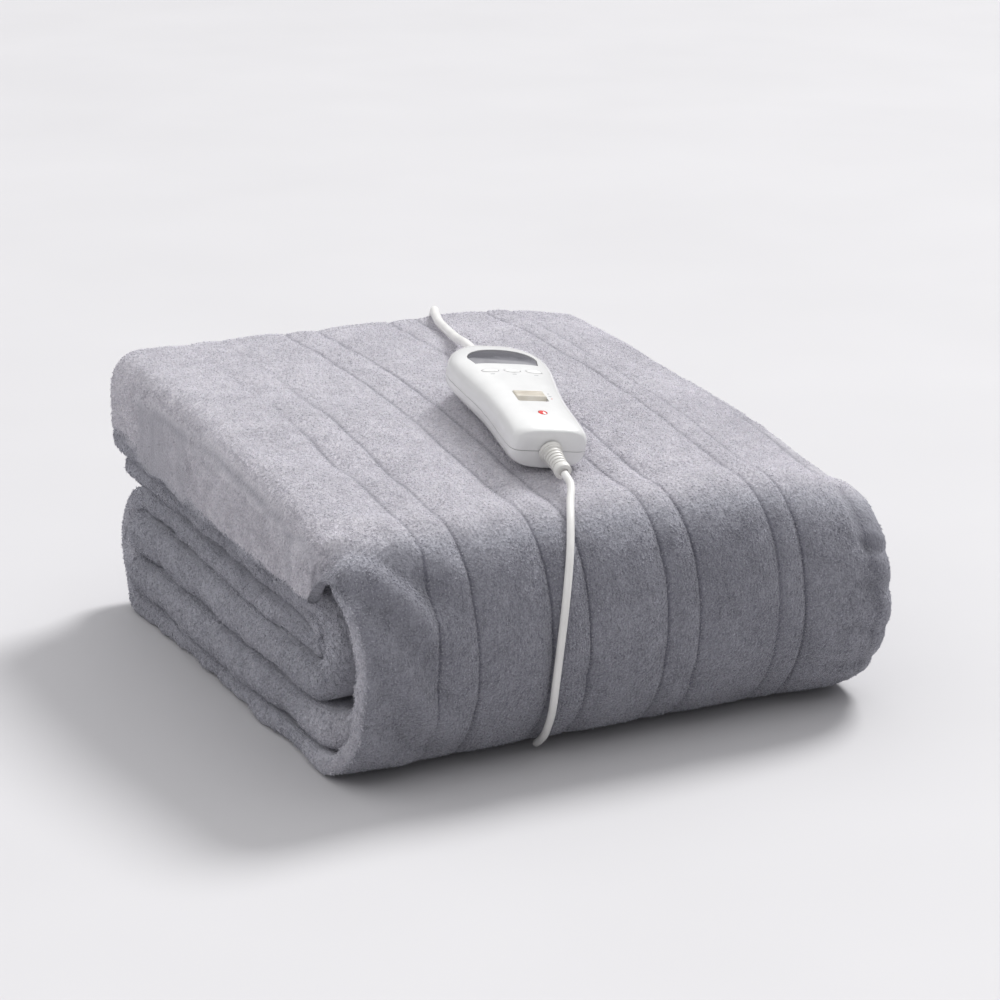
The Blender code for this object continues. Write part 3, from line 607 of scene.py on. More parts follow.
def creaseDepth(at, x):
    total = np.zeros_like(x)
    for (at0, x0), (at1, x1), depth, width in creases:
        # places along are counted in stretches; this brings both axes near enough to metres
        scale = 0.19
        du, dv = (at1 - at0) * scale, x1 - x0
        length = math.hypot(du, dv)
        u, v = (at - at0) * scale, x - x0
        run = (u * du + v * dv) / length ** 2
        off = np.abs(u * dv - v * du) / length
        ends = ease((run + 0.15) / 0.4) * ease((1.15 - run) / 0.4)
        bank = 0.35 * np.exp(-((off - 2 * width) / width) ** 2)
        total += depth * ends * (np.exp(-(off / width) ** 2) - bank)
    return total


def outerRelief(at, y, x, s):
    # raised or sunk height of the outer face, from its sewn channels, creases and loft
    relief = 0.0010 * ripple(s, x, 0.085, 3)
    relief = relief + 0.0009 * ripple(s, x, 0.034, 4)
    relief = relief + 0.0004 * ripple(s, x, 0.014, 5)
    nearest = np.full(x.shape, 1.0)
    for place, depth, sharpTo in channels:
        off = np.abs(x - channelPlace(place, s))
        nearest = np.minimum(nearest, off)
        press = (0.75 + 0.35 * ripple(s, np.full_like(s, place * 90), 0.05, 12)) * channelFade(at, y, sharpTo)
        relief = relief - depth * press * (0.5 * np.exp(-(off / channelLook["width"]) ** 2)
                                           + 0.5 * np.exp(-(off / channelLook["valley"]) ** 2))
    relief = relief + channelLook["puff"] * ease(nearest / channelLook["reach"]) - channelLook["drop"]
    return relief - creaseDepth(at, x)


def sideRelief(s, around, seed):
    # gathers where the layers turn over at the ends
    fine = ripple(s, around * 0.5, 0.013, seed) * cloth["gather"]
    broad = ripple(s, around * 0.5, 0.040, seed + 1) * cloth["broadGather"]
    return fine + broad


def buildCloth():
    stations = stripStations()
    outerEnd = outlineSteps["hem"] + outlineSteps["flap"] + outlineSteps["outer"]
    outlines, rows, run, before = [], [], [], None
    length = 0.0
    for at, thickness in stations:
        y, z, dy, dz = routePoint(at)
        if before:
            length += math.hypot(y - before[0], z - before[1])
        before = (y, z)
        run.append(length)
        edge = edgeAt(at).copy()
        wave = float(ripple(length, 0.0, 0.045, 21)) * 0.0020
        wave += float(ripple(length, 0.0, 0.017, 22)) * 0.0010
        edge[1] = max(edge[1] + abs(wave) + 0.0006, cloth["leftmost"])
        edge[0] += float(ripple(length, 0.3, 0.040, 23)) * 0.0018
        edge[3] += float(ripple(length, 0.6, 0.050, 24)) * 0.0012
        edge[2] += float(ripple(length, 0.9, 0.030, 25)) * 0.0022 if edge[2] > 0.006 else 0.0
        outline, upperCount = stripOutline(edge, cloth["ply"] * thickness)
        full = fullnessAt(y)[0]
        size = math.hypot(dy, dz)
        outY, outZ = full * dz / size, -full * dy / size
        outline[:outerEnd, 0] = wandered(outline[:outerEnd, 0], np.full(outerEnd, length))
        x, out = outline[:, 0], outline[:, 1]
        sink = edge[5] * ease((x - cloth["fallStart"]) / (edge[3] - cloth["fallStart"]))
        points = np.stack([x, y + outY * out, z + outZ * out - sink], axis=1)
        rows.append(points)
        outlines.append(outline)
    grid = np.array(rows)
    return grid, np.array([s[0] for s in stations]), np.array(run), np.array(outlines), upperCount


def gridNormals(grid):
    along = np.gradient(grid, axis=0)
    around = np.roll(grid, -1, axis=1) - np.roll(grid, 1, axis=1)
    normal = np.cross(along, around)
    normal /= np.maximum(np.linalg.norm(normal, axis=2), 1e-12)[:, :, None]
    return normal


def nearestOnPath(points, path):
    # distance from each point to the closest of a lead's points, in blocks to save memory
    line = np.array(path)
    best = np.full(len(points), 1.0)
    for i in range(0, len(points), 20000):
        block = points[i:i + 20000]
        gaps = np.linalg.norm(block[:, None, :] - line[None, :, :], axis=2)
        best[i:i + 20000] = gaps.min(axis=1)
    return best


def shapeCloth():
    grid, places, run, outlines, upperCount = buildCloth()
    normal = gridNormals(grid)
    stationCount, count = grid.shape[:2]
    at = np.repeat(places[:, None], count, axis=1)
    s = np.repeat(run[:, None], count, axis=1)
    x, out = outlines[:, :, 0], outlines[:, :, 1]
    index = np.repeat(np.arange(count)[None, :], stationCount, axis=0)
    hemAndFlap = outlineSteps["hem"] + outlineSteps["flap"]
    outerEnd = hemAndFlap + outlineSteps["outer"] + outlineSteps["turn"] // 2
    outerFace = (index < outerEnd)
    # the outer face also carries its relief down the hanging hem
    around = np.cumsum(np.linalg.norm(np.diff(outlines, axis=1, prepend=outlines[:, :1]), axis=2), axis=1)
    relief = np.where(outerFace, outerRelief(at, grid[:, :, 1], x, s), 0.0)
    endways = ease((np.abs(x) - 0.165) / 0.03)
    inside = sideRelief(s, around, 31) * (0.35 + 0.65 * endways)
    relief = np.where(outerFace, relief + inside * 0.45 * endways, inside)
    legLength = 0.37
    relief *= np.minimum(1.0, np.minimum(at, 7 - at) * legLength / cloth["settle"])
    # the base leg lies flat on the floor
    resting = ((at > 1.85) & (at < 3.1) & outerFace)
    relief = np.where(resting, np.minimum(relief, 0.0) * 0.3, relief)
    # the cloth fills up under the raised head of the controller, and is pressed by its tail
    top = outerFace & (at < 1.0)
    lift, press = [high * np.exp(-((x - atX) / wideX) ** 2 - ((grid[:, :, 1] - atY) / wideY) ** 2)
                   for high, atX, atY, wideX, wideY in (cloth["headLift"], cloth["tailPress"])]
    relief = np.where(top, relief + lift - press, relief)
    grid = grid + normal * relief[:, :, None]
    # leads lie in a slight groove
    flatPoints = grid.reshape(-1, 3)
    flatNormals = normal.reshape(-1, 3)
    for path, diameter in ((throwPath, throwLead["diameter"]), (mainsPath[:clothPart], mainsLead["diameter"])):
        gaps = nearestOnPath(flatPoints, path)
        push = np.clip(diameter / 2 + cloth["leadRoom"] - gaps, 0.0, cloth["grooveLimit"])
        flatPoints = flatPoints - flatNormals * push[:, None] * outerFace.reshape(-1)[:, None]
    flatPoints[:, 2] = np.maximum(flatPoints[:, 2], cloth["floorRoom"])
    return flatPoints.reshape(grid.shape), at, s, x, outerFace, upperCount


def storePaintedShades(data, napPaintedLight, sewn):
    # stores the painted nap light and shade, and the seam values that part the pile and paint shade along it,
    # as point attributes
    for word, values in (("napPaintedLight", napPaintedLight), ("sewn", sewn)):
        shade = data.attributes.new(word, "FLOAT", "POINT")
        shade.data.foreach_set("value", values.ravel().astype(np.float32))


def paintNapLightAndShade(at, s, x, outerFace):
    # painted light and shade of the pile: 1 is painted light along the top, 0 is painted dark down the front,
    # and the other faces get a middling painted shade
    front = ease((at - 1.02) / 0.26)
    outer = 1 - front * (1 - 0.10 * ripple(s, x, 0.05, 41))
    inner = 0.42 + 0.20 * ripple(at * 3.0, x, 1.1, 42) + 0.10 * ripple(s, x, 0.04, 43)
    # painted shade: the outer face darkens down the hanging left flap
    outer = outer * (1 - 0.45 * ease((-x - 0.205) / 0.075))
    return np.clip(np.where(outerFace & (at < 2.0), outer, inner), 0.0, 1.0)


def seamPaintedShade(at, y, s, x, outerFace):
    # how much of the pile is parted over a channel's seam; the same value paints shade along the seam
    total = np.zeros_like(x)
    for place, depth, sharpTo in channels:
        off = np.abs(x - channelPlace(place, s))
        total += np.exp(-(off / channelLook["seam"]) ** 2) * channelFade(at, y, sharpTo)
    return np.where(outerFace, np.clip(total, 0, 1), 0.0)


def plushFinish(name="plush", tuft=False):
    # soft grey-lavender pile, brushed lighter and darker in patches, with sheen at a low angle
    made, shader, coords = startFinish(name, (0.36, 0.37, 0.42), 0.92, **{
        "Sheen Weight": 1.0, "Sheen Roughness": 0.35, "Sheen Tint": (0.93, 0.93, 1.0, 1.0),
        "Specular IOR Level": 0.12})
    patches = noiseNode(made, coords, 16.0, 3.0, 0.5)
    brushed = noiseNode(made, coords, 70.0, 3.0, 0.6)
    grain = noiseNode(made, coords, 620.0, 4.0, 0.7)
    napPaintedLight = addNode(made, "ShaderNodeAttribute", attribute_name="napPaintedLight")
    sewn = addNode(made, "ShaderNodeAttribute", attribute_name="sewn")
    # painted light along the top and painted shade down the front and sides, from the cloth's painted nap
    # values
    tone = rampNode(made, napPaintedLight.outputs["Fac"], ((0.0, (0.36, 0.36, 0.41)), (0.42, (0.62, 0.62, 0.68)),
                                               (1.0, (0.985, 0.95, 1.0)))).outputs["Color"]
    # random tone from patches, brushing and grain, then painted shade along the channel seams in the last row
    for factor, stops in (
            (patches, ((0.36, (0.91, 0.91, 0.915)), (0.66, (1.02, 1.02, 1.02)))),
            (brushed, ((0.38, (0.91, 0.91, 0.915)), (0.62, (1.03, 1.03, 1.03)))),
            (grain, ((0.40, (0.74, 0.74, 0.76)), (0.60, (1.05, 1.05, 1.05)))),
            (sewn, ((0.0, (1.0, 1.0, 1.0)), (1.0, (0.52, 0.52, 0.55))))):
        mixed = addNode(made, "ShaderNodeMix", data_type="RGBA", blend_type="MULTIPLY")
        mixed.inputs[0].default_value = 1.0
        link(made, tone, mixed.inputs[6])
        link(made, rampNode(made, factor.outputs["Fac"], stops).outputs["Color"], mixed.inputs[7])
        tone = mixed.outputs[2]
    link(made, tone, shader.inputs["Base Color"])
    if not tuft:
        clumped = noiseNode(made, coords, 260.0, 3.0, 0.6)
        coarse = bumpNode(made, brushed.outputs["Fac"], 0.45, 0.0024)
        clumps = bumpNode(made, clumped.outputs["Fac"], 0.8, 0.0026, coarse)
        fine = bumpNode(made, grain.outputs["Fac"], 1.0, 0.0024, clumps)
        link(made, fine.outputs["Normal"], shader.inputs["Normal"])
    return made


def endRungs(total):
    # faces that close an end of the cloth, each from one side of a layer across to the other
    kept = innerSide(range(clothUpper))
    arc = (total - clothUpper - len(kept)) // 2
    lower = [clothUpper + arc + len(kept) - 1 - i for i in range(len(kept))]
    rungs = [[*range(kept[i], kept[i + 1] + 1), lower[i + 1], lower[i]] for i in range(len(kept) - 1)]
    rungs.append([*range(clothUpper - 1, clothUpper + arc + 1)])
    rungs.append([*range(total - arc - 1, total), 0])
    return rungs


clothGrid, clothAt, clothRun, clothX, clothOuter, clothUpper = shapeCloth()
# painted light and shade for the pile, and painted shade along the channel seams
clothNapPaintedLight = paintNapLightAndShade(clothAt, clothRun, clothX, clothOuter)
clothSeamPaintedShade = seamPaintedShade(clothAt, clothGrid[:, :, 1], clothRun, clothX, clothOuter)
stationCount, outlineCount = clothGrid.shape[:2]
quads = []
firstRow = np.arange(outlineCount)
nextRow = np.roll(firstRow, -1)
for k in range(stationCount - 1):
    a = k * outlineCount
    quads.append(np.stack([a + firstRow, a + outlineCount + firstRow, a + outlineCount + nextRow,
                           a + nextRow], axis=1))
clothData = meshFromArrays("throwCloth", clothGrid.reshape(-1, 3), np.concatenate(quads))
bm = bmesh.new()
bm.from_mesh(clothData)
bm.verts.ensure_lookup_table()
endFaces = []
for base, way in ((0, 1), ((stationCount - 1) * outlineCount, -1)):
    endFaces += [bm.faces.new([bm.verts[base + i] for i in rung][::way]) for rung in endRungs(outlineCount)]
bmesh.ops.triangulate(bm, faces=endFaces)
bmesh.ops.recalc_face_normals(bm, faces=bm.faces)
bm.to_mesh(clothData)
bm.free()
storePaintedShades(clothData, clothNapPaintedLight, clothSeamPaintedShade)
throwCloth = addObject("throwCloth", clothData, plushFinish())
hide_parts("throw")
say(f"cloth shaped: {len(clothData.polygons)} faces")


# pile: small flat-lying tufts over every face that shows

pile = {
    "length": 0.0022,
    "mixed": 0.16,               # how far one tuft's shade strays from the next one's
    "width": 0.00062,
    "lowest": 10.0,              # degrees up from the cloth
    "highest": 46.0,
    "sunk": 0.0003,
    "lowestPoint": 0.0002,
    "leadRoom": 0.0011,
    "rowPitch": 0.0026,          # rows that show where the front bend opens the pile
    "sideLength": 0.0026,
    "tuftsTop": 36000,           # on each half
    "tuftsFront": 42000,
    "tuftsLeft": 30000,          # on each half
    "tuftsRight": 6000,
    "tuftsBack": 6000,
}


def tuftMesh(name, count, chosen, seed, rows=False, longest=pile["length"]):
    # chosen are quads of the cloth; tufts are spread evenly over them
    dice = np.random.default_rng(seed)
    corners = clothGrid.reshape(-1, 3)[chosen]
    one = np.cross(corners[:, 1] - corners[:, 0], corners[:, 2] - corners[:, 0])
    two = np.cross(corners[:, 2] - corners[:, 0], corners[:, 3] - corners[:, 0])
    areas = 0.5 * (np.linalg.norm(one, axis=1) + np.linalg.norm(two, axis=1))
    picked = dice.choice(len(chosen), size=count, p=areas / areas.sum())
    u, v = dice.random(count), dice.random(count)
    c = corners[picked]
    base = (c[:, 0] * ((1 - u) * (1 - v))[:, None] + c[:, 1] * (u * (1 - v))[:, None]
            + c[:, 2] * (u * v)[:, None] + c[:, 3] * ((1 - u) * v)[:, None])
    normal = one[picked] + two[picked]
    normal /= np.linalg.norm(normal, axis=1)[:, None]
    # each tuft takes the painted nap light and shade of its quad, spread at random
    napPaintedLight = clothNapPaintedLight.reshape(-1)[chosen[picked, 0]] + dice.normal(0, pile["mixed"], count)
    sewn = clothSeamPaintedShade.reshape(-1)[chosen[picked]].max(axis=1)
    keep = pileKeep(base) & (sewn * dice.uniform(0.6, 1.4, count) < 0.5)
    base, normal, napPaintedLight, sewn = base[keep], normal[keep], napPaintedLight[keep], sewn[keep]
    count = len(base)
    if rows:
        snapped = np.round(base[:, 0] / pile["rowPitch"]) * pile["rowPitch"]
        base[:, 0] += (snapped - base[:, 0]) * 0.7
    spread = dice.normal(0, 1, (count, 3))
    bias = np.stack([ripple(base[:, 0], base[:, 1] + base[:, 2], 0.05, 51),
                     ripple(base[:, 0], base[:, 1] + base[:, 2], 0.05, 52) - 0.6,
                     ripple(base[:, 0], base[:, 1] + base[:, 2], 0.05, 53) - 0.5], axis=1)
    lay = spread * 0.8 + bias
    lay -= normal * np.sum(lay * normal, axis=1)[:, None]
    lay /= np.maximum(np.linalg.norm(lay, axis=1), 1e-9)[:, None]
    side = np.cross(normal, lay)
    tilt = np.radians(dice.uniform(pile["lowest"], pile["highest"], count))[:, None]
    length = (longest * dice.uniform(0.6, 1.25, count))[:, None]
    width = (pile["width"] * dice.uniform(0.7, 1.3, count))[:, None]
    root = base - normal * pile["sunk"]
    tip = root + (lay * np.cos(tilt) + normal * np.sin(tilt)) * length
    heel = root - lay * width * 0.4
    points = np.stack([root - side * width * 0.5 + lay * width * 0.4,
                       root + side * width * 0.5 + lay * width * 0.4,
                       heel + normal * width * 0.9, tip], axis=1).reshape(-1, 3)
    points[:, 2] = np.maximum(points[:, 2], pile["lowestPoint"])
    start = (np.arange(count) * 4)[:, None]
    corners = ((0, 1, 3), (1, 2, 3), (2, 0, 3), (0, 2, 1))
    faces = np.concatenate([start + np.array(f)[None, :] for f in corners])
    data = meshFromArrays(name, points, faces)
    # tufts carry the painted nap light and shade and half the painted seam shade
    storePaintedShades(data, np.repeat(napPaintedLight, 4), np.repeat(sewn * 0.5, 4))
    made = addObject(name, data, tuftFinish)
    return made


# hand controller

control = {
    "place": (0.0007, -0.0586, 0.1940),
    "turn": -9.3,                # degrees
    "pitch": 10.0,
    "roll": 7.0,
    "upperHeight": 0.0165,
    "lowerHeight": 0.0145,
    "seam": 0.0004,
    "upperPower": 3.6,
    "lowerPower": 2.8,
    "ribs": (                    # y, half width and how full the section is, from tail to head
        (-0.0724, 0.0180, 0.68), (-0.0720, 0.0212, 0.80), (-0.0705, 0.0247, 0.89),
        (-0.0650, 0.0270, 0.965), (-0.0500, 0.0277, 1.00), (-0.0280, 0.0279, 1.00),
        (-0.0060, 0.0295, 1.00), (0.0160, 0.0330, 1.00), (0.0350, 0.0360, 1.00),
        (0.0490, 0.0362, 0.98), (0.0600, 0.0328, 0.94), (0.0670, 0.0268, 0.88),
        (0.0712, 0.0190, 0.80), (0.0730, 0.0110, 0.72), (0.0736, 0.0050, 0.55),
    ),
    "colour": (0.75, 0.75, 0.74),
}
controlFrame = (Matrix.Translation(control["place"])
                @ Matrix.Rotation(math.radians(control["turn"]), 4, "Z")
                @ Matrix.Rotation(math.radians(control["pitch"]), 4, "X")
                @ Matrix.Rotation(math.radians(control["roll"]), 4, "Y"))


controlRibs = splineThrough(control["ribs"], 5)


def controlTop(x, y):
    ys = [r[0] for r in controlRibs]
    half = float(np.interp(y, ys, [r[1] for r in controlRibs]))
    crown = float(np.interp(y, ys, [r[2] for r in controlRibs]))
    power = control["upperPower"]
    return control["upperHeight"] * crown * (1 - min(abs(x) / half, 1.0) ** power) ** (1 / power)


def shellLoop(rib, height, power, steps=40):
    y, half, crown = rib
    loop = []
    seam = control["seam"] / 2
    for i in range(steps + 1):
        turn = math.pi * i / steps
        x = math.copysign(abs(math.cos(turn)) ** (2 / power), math.cos(turn)) * half
        z = math.sin(turn) ** (2 / power) * (abs(height) * crown - seam) + seam
        loop.append(Vector((x, y, math.copysign(z, height))))
    return loop


def placeControl(obj, body="throw"):
    # meshes are made in the controller's own axes, then set in place
    obj.parent = None
    obj.matrix_world = controlFrame
    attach(obj, body)
    return obj


def addControl(name, data, finish, body="throw", sharp=35):
    made = bpy.data.objects.new(name, data)
    bpy.context.scene.collection.objects.link(made)
    data.materials.append(finish)
    data.shade_smooth()
    data.set_sharp_from_angle(angle=math.radians(sharp))
    return placeControl(made, body)


def outlineOval(width, length, x=0.0, y=0.0, sides=36):
    return [(x + width / 2 * math.cos(math.tau * i / sides), y + length / 2 * math.sin(math.tau * i / sides))
            for i in range(sides)]


def outlineBox(width, length, radius, x=0.0, y=0.0, steps=6):
    made = []
    for signX, signY, start in ((1, 1, 0), (-1, 1, 90), (-1, -1, 180), (1, -1, 270)):
        for i in range(steps + 1):
            turn = math.radians(start + 90 * i / steps)
            made.append((x + signX * (width / 2 - radius) + radius * math.cos(turn),
                         y + signY * (length / 2 - radius) + radius * math.sin(turn)))
    return made


def grownOutline(outline, by):
    made = []
    for i, here in enumerate(outline):
        here = Vector(here)
        before, after = Vector(outline[i - 1]), Vector(outline[(i + 1) % len(outline)])
        a = Vector(((here - before).y, -(here - before).x)).normalized()
        b = Vector(((after - here).y, -(after - here).x)).normalized()
        out = (a + b).normalized()
        made.append(tuple(here + out * by / max(out.dot(a), 0.3)))
    return made


def cappedPiece(name, outline, bottom, top, edge, crown=0.0):
    # upright piece on an outline, its upper edge softened; top is a function of x and y
    cx = sum(p[0] for p in outline) / len(outline)
    cy = sum(p[1] for p in outline) / len(outline)
    loops = [[Vector((x, y, bottom)) for x, y in outline]]
    loops.append([Vector((x, y, top(x, y) - edge)) for x, y in outline])
    for share in (0.35, 0.70, 1.0):
        inset = grownOutline(outline, -edge * (1 - math.cos(share * math.pi / 2)))
        down = edge * (1 - math.sin(share * math.pi / 2))
        loops.append([Vector((x, y, top(x, y) - down)) for x, y in inset])
    last = loops[-1]
    for share in (0.75, 0.5, 0.25, 0.06):
        ring = []
        for p in last:
            x, y = cx + (p.x - cx) * share, cy + (p.y - cy) * share
            ring.append(Vector((x, y, top(x, y) + crown * (1 - share * share))))
        loops.append(ring)
    return meshFromLoops(name, loops)


def plainPrism(name, outline, bottom, top):
    return meshFromLoops(name, [[Vector((x, y, z)) for x, y in outline] for z in (bottom, top)])


def cutFrom(data, cutters):
    # boolean every cutter from a mesh and give back the result as plain mesh data
    scene = bpy.context.scene
    body = bpy.data.objects.new("cutBody", data)
    scene.collection.objects.link(body)
    helpers = []
    for i, cutterData in enumerate(cutters):
        helper = bpy.data.objects.new(f"cutter{i}", cutterData)
        scene.collection.objects.link(helper)
        modifier = body.modifiers.new(f"cut{i}", "BOOLEAN")
        modifier.operation = "DIFFERENCE"
        modifier.solver = "EXACT"
        modifier.object = helper
        helpers.append(helper)
    bpy.context.view_layer.update()
    graph = bpy.context.evaluated_depsgraph_get()
    made = bpy.data.meshes.new_from_object(body.evaluated_get(graph))
    for item in [body, *helpers]:
        bpy.data.objects.remove(item, do_unlink=True)
    made.materials.clear()
    return made


def shellFinish():
    # white gloss plastic with faint moulding ripple and light wear
    made, shader, coords = startFinish("whiteShell", control["colour"], 0.20, **{
        "Coat Weight": 0.35, "Coat Roughness": 0.08, "Specular IOR Level": 0.5})
    soft = noiseNode(made, coords, 60.0, 2.0)
    fine = noiseNode(made, coords, 1500.0, 2.0)
    tone = rampNode(made, soft.outputs["Fac"], ((0.3, (0.735, 0.735, 0.73)), (0.7, (0.775, 0.775, 0.77))))
    roughBetween(made, shader, soft.outputs["Fac"], 0.16, 0.27)
    dress(made, shader, tone.outputs["Color"], bumpNode(made, fine.outputs["Fac"], 0.05, 0.0001))
    return made


def mouldedFinish(name, dark, light, roughness, grain=900.0, strength=0.10, **constants):
    # plain moulded plastic or rubber with a fine grain
    made, shader, coords = startFinish(name, light, roughness, **constants)
    soft = noiseNode(made, coords, 140.0, 3.0)
    fine = noiseNode(made, coords, grain, 3.0)
    tone = rampNode(made, soft.outputs["Fac"], ((0.32, dark), (0.66, light)))
    dress(made, shader, tone.outputs["Color"], bumpNode(made, fine.outputs["Fac"], strength, 0.0002))
    return made


windowLook = {"half": 0.0225, "widest": 0.0250, "place": 0.0330, "side": 0.0100, "arch": 0.0155,
              "depth": 0.0030, "sunk": 0.0005}
buttonLook = {"size": (0.0118, 0.0052), "place": 0.0210, "pitch": 0.0158, "depth": 0.0030, "proud": 0.0003,
              "gap": 0.00035}
slotLook = {"size": (0.0220, 0.0165), "place": -0.0205, "depth": 0.0035, "radius": 0.0015}
sliderLook = {"size": (0.0210, 0.0110), "ribs": 4, "ribHigh": 0.0013, "proud": 0.0010, "fit": 0.0004}
lampLook = {"radius": 0.0030, "place": -0.0470, "depth": 0.0020, "dome": 0.0008}


def windowOutline(look):
    half, wide, y = look["half"], look["widest"], look["place"]
    made = [(-half, y), (half, y)]
    for i in range(25):
        turn = math.pi * i / 24
        made.append((wide * math.cos(turn), y + look["side"] + look["arch"] * math.sin(turn)))
    return made


def buttonOval(side):
    return outlineOval(*buttonLook["size"], side * buttonLook["pitch"], buttonLook["place"])


def windowFinish():
    # smoked window, paler towards its straight edge and darker towards its arch, with a cloudy variation
    made, shader, coords = startFinish("smokedWindow", (0.10, 0.10, 0.12), 0.10, **{
        "Coat Weight": 0.6, "Coat Roughness": 0.04, "Specular IOR Level": 0.6})
    cloud = noiseNode(made, coords, 55.0, 2.0)
    parts = addNode(made, "ShaderNodeSeparateXYZ")
    link(made, coords, parts.inputs["Vector"])
    band = addNode(made, "ShaderNodeMapRange")
    band.inputs["From Min"].default_value = windowLook["place"] + 0.002
    band.inputs["From Max"].default_value = windowLook["place"] + 0.024
    link(made, parts.outputs["Y"], band.inputs["Value"])
    mixed = addNode(made, "ShaderNodeMath", operation="ADD")
    link(made, band.outputs["Result"], mixed.inputs[0])
    link(made, cloud.outputs["Fac"], mixed.inputs[1])
    tone = rampNode(made, mixed.outputs["Value"], ((0.35, (0.27, 0.265, 0.29)), (0.80, (0.16, 0.16, 0.18)),
                                                   (1.0, (0.085, 0.085, 0.10))))
    dress(made, shader, tone.outputs["Color"], bumpNode(made, cloud.outputs["Fac"], 0.04, 0.0003))
    return made


def lampFinish():
    return mouldedFinish("redLamp", (0.70, 0.035, 0.030), (0.84, 0.060, 0.050), 0.18, 600.0, 0.04,
                         **{"Coat Weight": 0.5, "Coat Roughness": 0.06})


def buildControl():
    shell = shellFinish()
    lowerData = meshFromLoops("controllerLower", [shellLoop(r, -control["lowerHeight"], control["lowerPower"])
                                                 for r in controlRibs])
    lower = addControl("controllerLower", lowerData, shell, sharp=50)
    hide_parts("controller_lower")

    top = control["upperHeight"]
    high = top * 2
    upperData = meshFromLoops("controllerUpper", [shellLoop(r, top, control["upperPower"])
                                                 for r in controlRibs])
    window = windowOutline(windowLook)
    cutters = [plainPrism("cut", grownOutline(window, 0.0003), top - windowLook["depth"], high)]
    for side in (-1, 0, 1):
        hole = grownOutline(buttonOval(side), buttonLook["gap"])
        cutters.append(plainPrism("cut", hole, top - buttonLook["depth"], high))
    slot = outlineBox(*slotLook["size"], slotLook["radius"], 0.0, slotLook["place"])
    cutters.append(plainPrism("cut", slot, top - slotLook["depth"], high))
    lampOval = outlineOval(2 * lampLook["radius"], 2 * lampLook["radius"], 0.0, lampLook["place"])
    cutters.append(plainPrism("cut", grownOutline(lampOval, 0.0003), top - lampLook["depth"], high))
    upper = addControl("controllerUpper", cutFrom(upperData, cutters), shell, sharp=40)
    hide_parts("controller_upper")

    pane = cappedPiece("displayWindow", window, top - windowLook["depth"] + 0.0003,
                       lambda x, y: controlTop(x, y) - windowLook["sunk"], 0.0005, 0.0002)
    pane = addControl("displayWindow", pane, windowFinish())
    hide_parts("display_window")

    capFinish = mouldedFinish("buttonCap", (0.70, 0.70, 0.69), (0.76, 0.76, 0.75), 0.30, 1400.0, 0.06)
    for word, side in (("left", -1), ("middle", 0), ("right", 1)):
        cap = cappedPiece(f"button{word.capitalize()}", buttonOval(side), top - buttonLook["depth"] + 0.0010,
                          lambda x, y: controlTop(x, y) + buttonLook["proud"], 0.0006, -0.0003)
        cap = addControl(f"button{word.capitalize()}", cap, capFinish, f"button_{word}")
        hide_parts(f"button_{word}")

    lamp = cappedPiece("lampLens", lampOval, top - lampLook["depth"] + 0.0003,
                       lambda x, y: controlTop(x, y) + 0.0002, 0.0005, lampLook["dome"] * 0.7)
    lamp = addControl("lampLens", lamp, lampFinish())
    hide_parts("lamp")
    buildSlider(top)
    buildMarks()


def buildSlider(top):
    # ribbed block with a raised lip towards the tail, seen from the side and carried across
    width, length = sliderLook["size"]
    base = top - slotLook["depth"] + 0.0003
    high = top + sliderLook["proud"]
    low = high - sliderLook["ribHigh"]
    place = slotLook["place"] + (slotLook["size"][1] - length) / 2 - sliderLook["fit"]
    profile = [(-length / 2, base), (length / 2, base), (length / 2, low - 0.0002)]
    step = length / (sliderLook["ribs"] + 1)
    for i in range(sliderLook["ribs"]):
        y = length / 2 - step * (i + 0.65)
        for j in range(9):
            turn = math.pi * j / 8
            profile.append((y + step * 0.30 * math.cos(turn), low + sliderLook["ribHigh"] * math.sin(turn)))
    profile += [(-length / 2 + 0.0013, low), (-length / 2 + 0.0011, high - 0.0002),
                (-length / 2 + 0.0008, high + 0.0003), (-length / 2 + 0.0003, high + 0.0003),
                (-length / 2, high - 0.0001)]
    rows = ((-width / 2, 0.0), (-width / 2 + 0.0004, 0.0004), (width / 2 - 0.0004, 0.0004), (width / 2, 0.0))
    ribZone = low - 0.0005
    loops = [[Vector((x, place + y, z + (raised if z > ribZone else 0.0) - 0.0004)) for y, z in profile]
             for x, raised in rows]
    finish = mouldedFinish("creamSlider", (0.76, 0.71, 0.62), (0.86, 0.82, 0.74), 0.34, 1200.0, 0.10)
    block = addControl("sliderBlock", meshFromLoops("sliderBlock", loops), finish, "slider", 30)
    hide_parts("slider")


def buildMarks():
    # plain printed tick marks: three beside the slider, one under each button
    ink = mouldedFinish("greyInk", (0.16, 0.16, 0.18), (0.22, 0.22, 0.24), 0.5, 1500.0, 0.05)
    red = mouldedFinish("redInk", (0.46, 0.05, 0.05), (0.56, 0.08, 0.07), 0.5, 1500.0, 0.05)
    beside, under = 0.0143, buttonLook["place"] - 0.0058
    rows = [(beside, slotLook["place"] + 0.0050, 0.0014, 0.0007, ink),
            (beside, slotLook["place"] + 0.0010, 0.0022, 0.0007, ink),
            (beside, slotLook["place"] - 0.0030, 0.0014, 0.0010, red)]
    rows += [(side * buttonLook["pitch"], under, 0.0030, 0.0005, ink) for side in (-1, 0, 1)]
    for i, (x, y, width, length, finish) in enumerate(rows):
        outline = outlineBox(width, length, length * 0.4, x, y, 3)
        loops = [[Vector((px, py, controlTop(px, py) + lift)) for px, py in outline]
                 for lift in (-0.0001, 0.00006)]
        mark = addControl(f"tickMark{i + 1}", meshFromLoops(f"tickMark{i + 1}", loops), finish)


